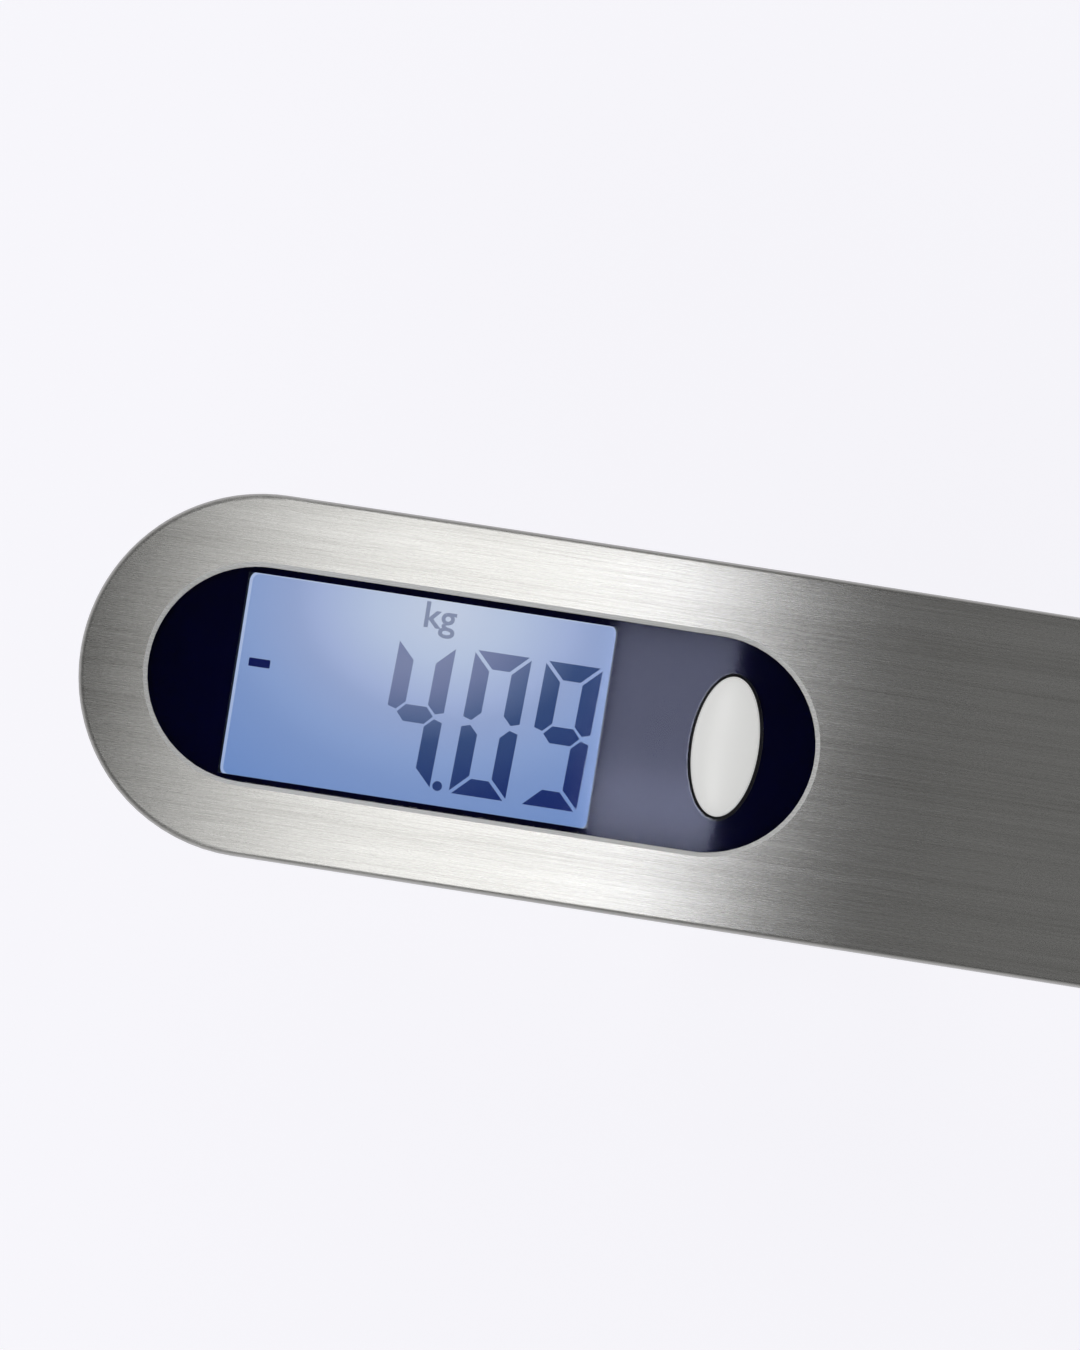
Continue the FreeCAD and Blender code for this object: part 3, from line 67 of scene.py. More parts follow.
# ---------------------------------------------------------------- node graphs
class Graph:
    """A material's node tree, with short calls for adding and joining nodes."""

    def __init__(self, name):
        self.material = bpy.data.materials.new(name)
        self.material.use_nodes = True
        self.tree = self.material.node_tree
        self.tree.nodes.clear()
        self.output = self.tree.nodes.new("ShaderNodeOutputMaterial")

    def put(self, node, key, value):
        socket = node.inputs[key]
        if isinstance(value, bpy.types.NodeSocket):
            self.tree.links.new(value, socket)
        else:
            socket.default_value = value

    def add(self, kind, settings=None, **inputs):
        node = self.tree.nodes.new(kind)
        for name, value in (settings or {}).items():
            setattr(node, name, value)
        for key, value in inputs.items():
            self.put(node, key.replace("_", " "), value)
        return node

    def math(self, operation, first, second=0.0):
        node = self.add("ShaderNodeMath", {"operation": operation})
        self.put(node, 0, first)
        self.put(node, 1, second)
        return node.outputs[0]

    def weigh(self, first, first_weight, second, second_weight):
        """The sum of two values, each times its weight."""
        return self.math("ADD", self.math("MULTIPLY", first, first_weight),
                         self.math("MULTIPLY", second, second_weight))

    def place(self, scale=(1.0, 1.0, 1.0), source="Object"):
        coordinates = self.add("ShaderNodeTexCoord").outputs[source]
        mapping = self.add("ShaderNodeMapping")
        self.put(mapping, "Vector", coordinates)
        self.put(mapping, "Scale", scale)
        return mapping.outputs[0]

    def noise(self, scale, detail=2.0, stretch=(1.0, 1.0, 1.0), source="Object", roughness=0.5):
        return self.add("ShaderNodeTexNoise", Vector=self.place(stretch, source), Scale=scale,
                        Detail=detail, Roughness=roughness).outputs[0]

    def remap(self, value, low, high, out_low, out_high):
        node = self.add("ShaderNodeMapRange")
        for key, number in zip((0, 1, 2, 3, 4), (value, low, high, out_low, out_high)):
            self.put(node, key, number)
        return node.outputs[0]

    def ramp(self, value, stops):
        node = self.add("ShaderNodeValToRGB")
        self.put(node, 0, value)
        elements = node.color_ramp.elements
        elements.remove(elements[1])
        elements[0].position = stops[0][0]
        elements[0].color = (*stops[0][1], 1.0)
        for position, colour in stops[1:]:
            elements.new(position).color = (*colour, 1.0)
        return node.outputs[0]

    def blend(self, factor, first, second, mode="MIX"):
        node = self.add("ShaderNodeMix", {"data_type": "RGBA", "blend_type": mode})
        for key, value in ((0, factor), (6, first), (7, second)):
            if isinstance(value, tuple):
                value = (*value, 1.0)
            self.put(node, key, value)
        return node.outputs[2]

    def vector(self, operation, first, second=None, output="Vector"):
        node = self.add("ShaderNodeVectorMath", {"operation": operation})
        self.put(node, 0, first)
        if second is not None:
            self.put(node, 1, second)
        return node.outputs[output]

    def on_arch(self):
        """The arched top's exact direction here, the facet's own, and 1 where the two agree."""
        position = self.add("ShaderNodeTexCoord").outputs["Object"]
        spoke = self.vector("SUBTRACT", position, (0.0, 0.0, ARCH_CENTRE_Z))
        arch = self.vector("NORMALIZE", self.vector("MULTIPLY", spoke, (1.0, 0.0, 1.0)))
        facet = self.add("ShaderNodeNewGeometry").outputs["Normal"]
        likeness = self.vector("DOT_PRODUCT", facet, arch, "Value")
        return arch, facet, self.remap(likeness, 0.985, 0.992, 0.0, 1.0)

    def arch_normal(self):
        # long flat facets only come near to the arch's direction
        arch, facet, agree = self.on_arch()
        choice = self.add("ShaderNodeMix", {"data_type": "VECTOR"})
        self.put(choice, 0, agree)
        self.put(choice, 4, facet)
        self.put(choice, 5, arch)
        return self.vector("NORMALIZE", choice.outputs[1])

    def bump(self, height, strength, distance, normal=None):
        node = self.add("ShaderNodeBump", Height=height, Strength=strength, Distance=distance)
        if normal is not None:
            self.put(node, "Normal", normal)
        return node.outputs[0]

    def surface(self, **inputs):
        shader = self.add("ShaderNodeBsdfPrincipled")
        for key, value in inputs.items():
            if key == "Base_Color" and isinstance(value, tuple):
                value = (*value, 1.0)
            self.put(shader, key.replace("_", " "), value)
        self.tree.links.new(shader.outputs[0], self.output.inputs[0])
        return shader


# ---------------------------------------------------------------- materials
def brushed_plate():
    # grain along X, so that highlights spread across the body; the edge cut for the window is
    # painted paler and less metallic, a painted highlight
    g = Graph("brushed_face")
    long_grain = g.noise(1.0, 3.0, (22.0, 5200.0, 900.0), roughness=0.65)
    fine_grain = g.noise(1.0, 2.0, (90.0, 14000.0, 2500.0))
    bands = g.noise(1.0, 2.0, (9.0, 420.0, 90.0))
    streaks = g.weigh(long_grain, 0.6, bands, 0.4)
    tone = g.ramp(streaks, [(0.34, (0.375, 0.370, 0.355)), (0.5, (0.435, 0.430, 0.415)),
                            (0.68, (0.475, 0.470, 0.455))])
    roughness = g.remap(fine_grain, 0.3, 0.7, 0.25, 0.29)
    bump = g.bump(g.math("ADD", long_grain, fine_grain), 0.2, 0.00002, g.arch_normal())
    agree = g.on_arch()[2]
    aside = g.math("SUBTRACT", 1.0, agree)
    across = g.add("ShaderNodeCombineXYZ", X=0.0, Y=agree, Z=aside).outputs[0]
    # the bevel round the window: a painted highlight, whiter and less metallic than the face
    cut = g.math("MULTIPLY", near_window(g), aside)
    g.surface(Base_Color=g.blend(cut, tone, (0.90, 0.90, 0.89)),
              Metallic=g.remap(cut, 0.0, 1.0, 1.0, 0.2),
              Roughness=roughness, Anisotropic=0.9, Tangent=across, Normal=bump)
    return g.material


def near_window(g):
    """1 within reach of the window's own edge, and 0 further out."""
    low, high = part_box("display_lens")
    radius = (high.y - low.y) / 2
    straight = (high.x - low.x) / 2 - radius
    position = g.add("ShaderNodeTexCoord").outputs["Object"]
    offset = g.vector("SUBTRACT", position, tuple((low + high) / 2))
    parts = g.add("ShaderNodeSeparateXYZ", Vector=offset)
    along = g.math("ABSOLUTE", parts.outputs[0])
    past_end = g.math("MAXIMUM", g.math("SUBTRACT", along, straight), 0.0)
    flat = g.add("ShaderNodeCombineXYZ", X=past_end, Y=parts.outputs[1], Z=0.0).outputs[0]
    return g.math("LESS_THAN", g.vector("LENGTH", flat, output="Value"), radius + RIM_REACH)


def moulded_plastic(name, colour, roughness=0.45, grain=0.00035, depth=0.00002, spread=0.15):
    g = Graph(name)
    cells = {"feature": "SMOOTH_F1"}
    texture = g.add("ShaderNodeTexVoronoi", cells, Vector=g.place(), Scale=1.0 / grain)
    cloud = g.noise(120.0, 3.0)
    darker = tuple(c * (1.0 - spread) for c in colour)
    lighter = tuple(min(1.0, c * (1.0 + spread)) for c in colour)
    tone = g.ramp(cloud, [(0.3, darker), (0.7, lighter)])
    bump = g.bump(texture.outputs[0], 0.5, depth)
    uneven = g.remap(cloud, 0.3, 0.7, roughness - 0.05, roughness + 0.06)
    g.surface(Base_Color=tone, Roughness=uneven, Normal=bump)
    return g.material


def plated_metal(name, colour, roughness=0.22, grain=0.0009, depth=0.00001):
    g = Graph(name)
    cloud = g.noise(1.0 / grain, 3.0)
    smear = g.noise(160.0, 2.0)
    darker = tuple(c * 0.86 for c in colour)
    tone = g.ramp(smear, [(0.35, darker), (0.65, colour)])
    uneven = g.remap(smear, 0.3, 0.7, roughness, roughness + 0.1)
    g.surface(Base_Color=tone, Metallic=1.0, Roughness=uneven, Normal=g.bump(cloud, 0.4, depth))
    return g.material


def brushed_metal(name, colour, roughness=0.32):
    g = Graph(name)
    grain = g.noise(1.0, 2.0, (60.0, 4000.0, 4000.0))
    tone = g.ramp(grain, [(0.3, tuple(c * 0.8 for c in colour)), (0.7, colour)])
    g.surface(Base_Color=tone, Metallic=1.0, Roughness=roughness,
              Normal=g.bump(grain, 0.3, 0.00002))
    return g.material


def soft_rubber(name, colour, roughness=0.75):
    g = Graph(name)
    grain = g.noise(2500.0, 3.0)
    dust = g.noise(300.0, 4.0)
    tone = g.ramp(dust, [(0.35, colour), (0.75, tuple(c * 1.7 for c in colour))])
    uneven = g.remap(dust, 0.3, 0.7, roughness - 0.08, roughness + 0.08)
    g.surface(Base_Color=tone, Roughness=uneven, Normal=g.bump(grain, 0.4, 0.00003))
    return g.material


def clear_acrylic():
    g = Graph("clear_acrylic")
    haze = g.noise(60.0, 2.0)
    g.surface(Base_Color=(1.0, 1.0, 1.0), Roughness=g.remap(haze, 0.3, 0.7, 0.045, 0.055),
              IOR=1.49, Transmission_Weight=1.0, Normal=g.arch_normal())
    return g.material


def mask_ink():
    g = Graph("mask_ink")
    cloud = g.noise(90.0, 2.0)
    tone = g.ramp(cloud, [(0.3, (0.0002, 0.0005, 0.034)), (0.7, (0.0005, 0.001, 0.046))])
    # bonded to the lens, so the ink has no shine of its own
    g.surface(Base_Color=tone, Roughness=g.remap(cloud, 0.3, 0.7, 0.7, 0.8), Specular_IOR_Level=0.0)
    return g.material


def pearl_button_painted_light():
    # a cap of pearl plastic with a painted glow (emission) that stands in for light, on a skirt
    # under the lens painted black as shade in the gap
    g = Graph("pearl_button_painted_light")
    flake = g.noise(9000.0, 1.0)
    cloud = g.noise(200.0, 2.0)
    pearl = g.ramp(flake, [(0.3, (0.87, 0.87, 0.86)), (0.7, (0.94, 0.94, 0.92))])
    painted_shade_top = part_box("power_button")[1].z - BUTTON_CAP
    height = g.add("ShaderNodeSeparateXYZ", Vector=g.place()).outputs[2]
    # 1 on the pearl cap; below it the tone is near black, painted shade in the gap round the button
    cap = g.math("GREATER_THAN", height, painted_shade_top)
    tone = g.blend(cap, (0.004, 0.004, 0.006), pearl)
    # the emission is a painted glow that brightens the cap; the button is no lamp
    shader = g.surface(Base_Color=tone, Metallic=0.1,
                       Roughness=g.remap(cloud, 0.3, 0.7, 0.46, 0.54),
                       Coat_Weight=0.25, Coat_Roughness=0.25, Emission_Strength=0.28)
    g.put(shader, "Emission Color", tone)
    return g.material


def solder_mask():
    g = Graph("solder_mask")
    weave = g.noise(1.0, 2.0, (2600.0, 2600.0, 10.0))
    tone = g.ramp(weave, [(0.35, (0.008, 0.075, 0.028)), (0.65, (0.012, 0.12, 0.045))])
    g.surface(Base_Color=tone, Roughness=0.35, Coat_Weight=0.4, Normal=g.bump(weave, 0.2, 0.00002))
    return g.material


GLOW_REACH = 34.0 * MM       # distance over which the display's light fades
GLOW_STRETCH = 1.35          # the light fades this much faster across the display than along it
GLOW_GRAIN = 1.2 * MM


def lit_blue(name, stops, centre):
    # a backlit surface: its brightness falls away from the lamp's place on the display
    g = Graph(name)
    position = g.add("ShaderNodeTexCoord").outputs["Object"]
    offset = g.vector("SUBTRACT", position, centre)
    stretched = g.vector("MULTIPLY", offset, (1.0, GLOW_STRETCH, 0.0))
    distance = g.vector("LENGTH", stretched, output="Value")
    grain = g.math("MULTIPLY", g.math("SUBTRACT", g.noise(5200.0, 2.0), 0.5), GLOW_GRAIN)
    tone = g.ramp(g.remap(g.math("ADD", distance, grain), 0.0, GLOW_REACH, 0.0, 1.0), stops)
    shader = g.surface(Base_Color=(0.01, 0.015, 0.03), Roughness=0.6, Specular_IOR_Level=0.0,
                       Emission_Strength=1.0)
    g.put(shader, "Emission Color", tone)
    return g.material


TWILL_ALONG = 1.9 * MM
TWILL_ACROSS = 2.1 * MM
CORD_PITCH = 0.70 * MM


def woven_polyester():
    # UV runs along the loop (u) and across the webbing (v), both in metres
    g = Graph("woven_polyester")
    uv = g.add("ShaderNodeTexCoord").outputs["UV"]
    parts = g.add("ShaderNodeSeparateXYZ", Vector=uv)
    along, across = parts.outputs[0], parts.outputs[1]
    twill = g.math("SINE", g.weigh(along, TURN / TWILL_ALONG, across, TURN / TWILL_ACROSS))
    cords = g.math("ABSOLUTE", g.math("SINE", g.math("MULTIPLY", across, math.pi / CORD_PITCH)))
    fibres = g.noise(1.0, 2.0, (900.0, 9000.0, 1.0), "UV")
    fuzz = g.noise(600.0, 3.0, source="UV")
    height = g.math("ADD", g.weigh(cords, 0.55, twill, 0.25), g.math("MULTIPLY", fibres, 0.5))
    # the tone follows the weave's height: painted shade in its hollows and paler raised cords, with
    # random fibre and fuzz tone mixed in
    tone = g.ramp(g.weigh(height, 0.6, fuzz, 0.3), [
        (0.15, (0.006, 0.006, 0.007)), (0.6, (0.020, 0.020, 0.022)), (0.95, (0.045, 0.045, 0.048)),
    ])
    g.surface(Base_Color=tone, Roughness=0.78, Sheen_Weight=0.35, Sheen_Roughness=0.4,
              Normal=g.bump(height, 0.7, 0.00012))
    return g.material


def sewing_thread():
    g = Graph("sewing_thread")
    twist = g.noise(1.0, 2.0, (5000.0, 5000.0, 1800.0))
    tone = g.ramp(twist, [(0.3, (0.05, 0.05, 0.055)), (0.7, (0.12, 0.12, 0.125))])
    g.surface(Base_Color=tone, Roughness=0.65, Sheen_Weight=0.3, Normal=g.bump(twist, 0.5, 0.00004))
    return g.material


def paint_nodes():
    case = moulded_plastic("case_plastic", (0.016, 0.016, 0.018))
    nickel = plated_metal("nickel_plate", (0.62, 0.61, 0.59))
    screw_zinc = plated_metal("zinc_screw", (0.36, 0.36, 0.37), 0.3)
    sheet = brushed_metal("zinc_sheet", (0.52, 0.52, 0.52))
    chip = moulded_plastic("chip_moulding", (0.012, 0.012, 0.013), 0.5)
    bronze = plated_metal("bronze_contact", (0.66, 0.50, 0.26), 0.28)
    white = moulded_plastic("white_moulding", (0.72, 0.72, 0.69), 0.5, spread=0.05)
    sleeve = moulded_plastic("lead_sleeve", (0.35, 0.02, 0.02), 0.4)
    glass = moulded_plastic("display_glass", (0.05, 0.07, 0.12), 0.2, spread=0.05)
    light_guide = moulded_plastic("light_guide", (0.6, 0.68, 0.85), 0.3, spread=0.05)
    finishes = {
        brushed_plate(): ["top_plate"],
        case: ["upper_case", "rear_cover", "battery_door"],
        clear_acrylic(): ["display_lens"],
        mask_ink(): ["lens_mask"],
        glass: ["lcd_panel"],
        white: ["lcd_frame", "tact_switch_plunger", "backlight_led"],
        light_guide: ["backlight_panel"],
        soft_rubber("zebra_rubber", (0.08, 0.07, 0.08)): ["zebra_strips"],
        pearl_button_painted_light(): ["power_button"],
        chip: ["tact_switch_body", "controller_chip", "amplifier_chip"],
        solder_mask(): ["circuit_board"],
        moulded_plastic("ceramic_part", (0.28, 0.20, 0.12), 0.4): ["board_components"],
        bronze: ["buzzer_disc", "battery_contact_plus", "battery_contact_minus"],
        nickel: ["crystal_can", "coin_cell", "strap_rod", "swivel_eye", "snap_hook", "hook_gate",
                 "gate_pin"],
        brushed_metal("milled_alloy", (0.70, 0.71, 0.72)): ["load_beam"],
        moulded_plastic("gauge_film", (0.42, 0.18, 0.05), 0.35): ["strain_gauges"],
        soft_rubber("silicone", (0.62, 0.62, 0.60), 0.5): ["gauge_sealant"],
        sleeve: ["gauge_leads", "battery_leads"],
        sheet: ["steel_chassis", "pull_stirrup", "beam_spacers"],
        screw_zinc: ["case_screws", "chassis_screws", "beam_screws", "board_screws", "stirrup_bolt"],
        soft_rubber("grip_rubber", (0.02, 0.02, 0.021)): ["grip_pad"],
        moulded_plastic("foam_tape", (0.05, 0.05, 0.05), 0.8): ["plate_tape"],
    }
    for material, names in finishes.items():
        for name in names:
            NODES[name].data.materials.clear()
            NODES[name].data.materials.append(material)


def bond_mask():
    # the ink is part of the lens's underside, so no air shows between the two
    film = NODES["lens_mask"].modifiers.new("bond", "DISPLACE")
    film.mid_level = 0.0
    film.strength = MASK_BOND


# ---------------------------------------------------------------- mesh helpers
def mesh_object(name, bm, material, smooth=False):
    bm.normal_update()
    mesh = bpy.data.meshes.new(name)
    bm.to_mesh(mesh)
    bm.free()
    mesh.materials.append(material)
    for polygon in mesh.polygons:
        polygon.use_smooth = smooth
    obj = bpy.data.objects.new(name, mesh)
    bpy.context.scene.collection.objects.link(obj)
    return obj


def finish_piece(obj, body):
    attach(obj, body)
    return obj


def add_slab(bm, outline, place, low, high):
    """A flat plate between two heights over a (u, v) outline, set by place(u, v, height)."""
    bottom = [bm.verts.new(place(u, v, low)) for u, v in outline]
    top = [bm.verts.new(place(u, v, high)) for u, v in outline]
    bm.faces.new(top)
    bm.faces.new(list(reversed(bottom)))
    count = len(outline)
    for i in range(count):
        j = (i + 1) % count
        bm.faces.new((bottom[i], bottom[j], top[j], top[i]))


def rounded_rectangle(half_u, half_v, radius, steps=6):
    outline = []
    for quarter, (su, sv) in enumerate(((1, 1), (-1, 1), (-1, -1), (1, -1))):
        for step in range(steps + 1):
            angle = math.radians(90 * quarter + 90 * step / steps)
            outline.append((su * (half_u - radius) + radius * math.cos(angle),
                            sv * (half_v - radius) + radius * math.sin(angle)))
    return outline


# ---------------------------------------------------------------- display
def display_axes():
    """Centre of the display's front face, and its directions along, across and out."""
    panel = NODES["lcd_panel"].data
    facing_up = [p for p in panel.polygons if p.normal.z > 0.9]
    out = max(facing_up, key=lambda p: p.area).normal.copy()
    across = Vector((0, 1, 0))
    along = across.cross(out).normalized()
    level = max(v.co.dot(out) for v in panel.vertices)
    low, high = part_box("lcd_panel")
    middle = (low + high) / 2
    centre = middle + out * (level - middle.dot(out))
    return centre, along, across, out


LCD_CENTRE, LCD_ALONG, LCD_ACROSS, LCD_OUT = display_axes()
VIEW_MIDDLE_U = -0.3 * MM
VIEW_HALF_U = 18.9 * MM
VIEW_HALF_V = 10.6 * MM
VIEW_CORNER = 1.0 * MM
VIEW_RIM = 0.3 * MM


def on_display(u, v, height):
    return LCD_CENTRE + LCD_ALONG * u + LCD_ACROSS * v + LCD_OUT * height


# segments: a top, b upper right, c lower right, d bottom, e lower left, f upper left, g middle
DIGIT_WIDTH = 5.8 * MM
DIGIT_HEIGHT = 14.8 * MM
DIGIT_SLANT = math.tan(math.radians(2.0))
BAR_UPRIGHT = 1.75 * MM
BAR_LEVEL = 1.75 * MM
BAR_GAP = 0.25 * MM
LIT = {"4": "bcfg", "0": "abcdef", "9": "abcdfg"}


def flip_u(outline):
    return [(-u, v) for u, v in reversed(outline)]


def flip_v(outline):
    return [(u, -v) for u, v in reversed(outline)]


def segment_outlines():
    w, h = DIGIT_WIDTH / 2, DIGIT_HEIGHT / 2
    a, b, gap = BAR_UPRIGHT, BAR_LEVEL, BAR_GAP
    level_end = w - a - gap * 0.3
    level_tip = w - a * 0.45 - gap
    top = [(-w + gap, h), (w - gap, h), (w - a - gap, h - b), (-w + a + gap, h - b)]
    right = [(w, h - gap), (w, b * 0.15 + gap), (w - a * 0.5, gap), (w - a, b * 0.5 + gap),
             (w - a, h - b - gap)]
    middle = [(-level_end, b / 2), (level_end, b / 2), (level_tip, 0),
              (level_end, -b / 2), (-level_end, -b / 2), (-level_tip, 0)]
    return {
        "a": top, "b": right, "c": flip_v(right), "d": flip_v(top),
        "e": flip_u(flip_v(right)), "f": flip_u(right), "g": middle,
    }


def digit_mesh(bm, digit, centre_u, centre_v, low, high):
    outlines = segment_outlines()
    for name in LIT[digit]:
        outline = [(centre_u + u + v * DIGIT_SLANT, centre_v + v) for u, v in outlines[name]]
        outline.reverse()
        add_slab(bm, outline, on_display, low, high)


def text_mesh(bm, text, size, weight, left_u, base_v, low, high):
    curve = bpy.data.curves.new("unit_text", "FONT")
    curve.body = text
    curve.size = size
    curve.offset = weight
    curve.extrude = (high - low) / 2
    source = bpy.data.objects.new("unit_text", curve)
    bpy.context.scene.collection.objects.link(source)
    bpy.context.view_layer.update()
    evaluated = source.evaluated_get(bpy.context.evaluated_depsgraph_get())
    bm.from_mesh(bpy.data.meshes.new_from_object(evaluated))
    for vert in bm.verts:
        vert.co = on_display(left_u + vert.co.x, base_v + vert.co.y, (low + high) / 2 + vert.co.z)
    bpy.data.objects.remove(source)


# places on the display: (u, v) from its centre
DIGIT_V = -1.4 * MM
DIGIT_LEFTS = {"4": -3.3 * MM, "0": 4.5 * MM, "9": 11.8 * MM}
DOT_PLACE = (3.0 * MM, -8.3 * MM)
DOT_RADIUS = 0.5 * MM
MINUS_PLACE = (-16.9 * MM, 1.34 * MM)
MINUS_HALF = (1.1 * MM, 0.43 * MM)
UNIT_PLACE = (-1.1 * MM, 7.55 * MM)
UNIT_SIZE = 3.75 * MM
UNIT_WEIGHT = 0.05 * MM
GLOW_CENTRE = (1.0 * MM, 9.5 * MM)
INK_CENTRE = (-3.0 * MM, 9.5 * MM)
# heights of the printed layers above the glass
RIM_LEVEL = 0.003 * MM
LIGHT_LEVEL = 0.015 * MM
LIGHT_TOP = 0.03 * MM
MARK_LEVEL = 0.04 * MM
MARK_TOP = 0.06 * MM


def flat_mark(name, outlines, material, low, high):
    """Thin printed shapes on the display, each from its (u, v) outline."""
    bm = bmesh.new()
    for outline in outlines:
        add_slab(bm, outline, on_display, low, high)
    finish_piece(mesh_object(name, bm, material), "body")


def view_outline(inset):
    # the inset leaves the lamp's side, at the right, as it is
    outline = rounded_rectangle(VIEW_HALF_U - inset / 2, VIEW_HALF_V - inset, VIEW_CORNER - inset)
    return [(u + VIEW_MIDDLE_U + inset / 2, v) for u, v in outline]


def moved(outline, u, v):
    return [(x + u, y + v) for x, y in outline]


def display_pieces():
    glow = on_display(*GLOW_CENTRE, 0)
    blue = lit_blue("lit_display", [
        (0.0, (0.57, 0.64, 0.79)), (0.2, (0.48, 0.57, 0.76)), (0.38, (0.365, 0.45, 0.70)),
        (0.45, (0.305, 0.39, 0.64)), (0.6, (0.25, 0.355, 0.63)), (0.72, (0.205, 0.31, 0.59)),
        (1.0, (0.15, 0.265, 0.57)),
    ], glow)
    rim = lit_blue("display_rim", [(0.0, (0.62, 0.69, 0.84)), (0.55, (0.42, 0.52, 0.76)),
                                   (1.0, (0.34, 0.45, 0.72))], glow)
    ink = lit_blue("display_ink", [
        (0.25, (0.20, 0.235, 0.39)), (0.34, (0.165, 0.20, 0.356)), (0.46, (0.087, 0.13, 0.27)),
        (0.56, (0.034, 0.068, 0.19)), (0.66, (0.024, 0.052, 0.175)), (0.8, (0.010, 0.026, 0.14)),
        (1.0, (0.004, 0.012, 0.125)),
    ], on_display(*INK_CENTRE, 0))
    navy = lit_blue("minus_ink", [(0.0, (0.004, 0.008, 0.09)), (1.0, (0.002, 0.005, 0.07))], glow)
    grey = lit_blue("display_grey", [(0.0, (0.24, 0.28, 0.41)), (1.0, (0.19, 0.23, 0.36))], glow)

    flat_mark("display_rim", [view_outline(0.0)], rim, RIM_LEVEL, LIGHT_LEVEL)
    flat_mark("display_light", [view_outline(VIEW_RIM)], blue, LIGHT_LEVEL, LIGHT_TOP)
    dot = rounded_rectangle(DOT_RADIUS, DOT_RADIUS, DOT_RADIUS * 0.998)
    flat_mark("decimal_point", [moved(dot, *DOT_PLACE)], ink, MARK_LEVEL, MARK_TOP)
    minus = rounded_rectangle(*MINUS_HALF, 0.1 * MM)
    flat_mark("minus_sign", [moved(minus, *MINUS_PLACE)], navy, MARK_LEVEL, MARK_TOP)

    bm = bmesh.new()
    for digit, left in DIGIT_LEFTS.items():
        digit_mesh(bm, digit, left + DIGIT_WIDTH / 2, DIGIT_V, MARK_LEVEL, MARK_TOP)
    finish_piece(mesh_object("display_digits", bm, ink), "body")

    bm = bmesh.new()
    text_mesh(bm, "kg", UNIT_SIZE, UNIT_WEIGHT, *UNIT_PLACE, MARK_LEVEL, MARK_TOP)
    finish_piece(mesh_object("display_unit", bm, grey), "body")


# ---------------------------------------------------------------- strap
PLY = 1.3 * MM
PLY_GAP = 0.06 * MM
FLARE = 6.0 * MM
CORD_DEPTH = 0.07 * MM
STITCH_RADIUS = 0.26 * MM
STITCH_LENGTH = 2.0 * MM
STITCH_PITCH = 2.7 * MM
STITCH_SINK = 0.75           # how deep its line lies in the cloth, in thread radii
SEAM_MARGIN = 3.6 * MM       # from the strap's edge to the sewn box
BOX_NEAR = 9.5 * MM          # from the rod or the eye's bar to the near side of its sewn box
BOX_FAR = 24.5 * MM


def strap_ends():
    """Heights of the rod and eye bar, the ply's circle round them, and half the strap's width."""
    rod_low, rod_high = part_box("strap_rod")
    low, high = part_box("webbing_strap")
    rod_z = (rod_low.z + rod_high.z) / 2
    circle = high.z - rod_z - PLY / 2
    return rod_z, low.z + PLY / 2 + circle, circle, (high.x - low.x) / 2


def strap_path(step=0.5 * MM):
    """The webbing's closed centre line in the YZ plane: each point and its outward direction."""
    rod_z, bar_z, circle, _ = strap_ends()
    throat_y = PLY / 2 + FLARE
    throat_z = math.sqrt((circle + FLARE) ** 2 - throat_y ** 2)
    meet = math.atan2(-throat_z, throat_y)
    right = []

    def arc(y, z, radius, start, end, outward):
        count = max(3, round(abs(end - start) * radius / step))
        for i in range(count):
            angle = start + (end - start) * i / count
            direction = Vector((0, math.cos(angle), math.sin(angle)))
            right.append((Vector((0, y, z)) + direction * radius, direction * outward))

    def run(y, z0, z1):
        count = round(abs(z1 - z0) / step)
        for i in range(count):
            right.append((Vector((0, y, z0 + (z1 - z0) * i / count)), Vector((0, 1, 0))))

    arc(0, rod_z, circle, math.pi / 2, meet, 1)
    arc(throat_y, rod_z - throat_z, FLARE, meet + math.pi, math.pi, -1)
    run(PLY / 2, rod_z - throat_z, bar_z + throat_z)
    arc(throat_y, bar_z + throat_z, FLARE, math.pi, math.pi - meet, -1)
    arc(0, bar_z, circle, -meet, -math.pi / 2, 1)
    right.append((Vector((0, 0, bar_z - circle)), Vector((0, 0, -1))))
    left = [(Vector((0, -p.y, p.z)), Vector((0, -n.y, n.z))) for p, n in reversed(right[1:-1])]
    return right + left


def webbing_section(half_width, thickness, ribs=24):
    """The webbing cut across, as (x, height) round it: cords on both faces and rounded edges."""
    half = thickness / 2
    count = ribs * 4
    face = []
    for i in range(count + 1):
        x = (2 * i / count - 1) * (half_width - half)
        cord = abs(math.sin(math.pi * ribs * i / count))
        face.append((x, half - CORD_DEPTH * (1 - cord)))
    edge = [(half_width - half + half * math.sin(a), (half - CORD_DEPTH) * math.cos(a))
            for a in (math.radians(30 * k) for k in range(1, 6))]
    return face + edge + [(-x, -h) for x, h in face] + [(-x, -h) for x, h in edge]


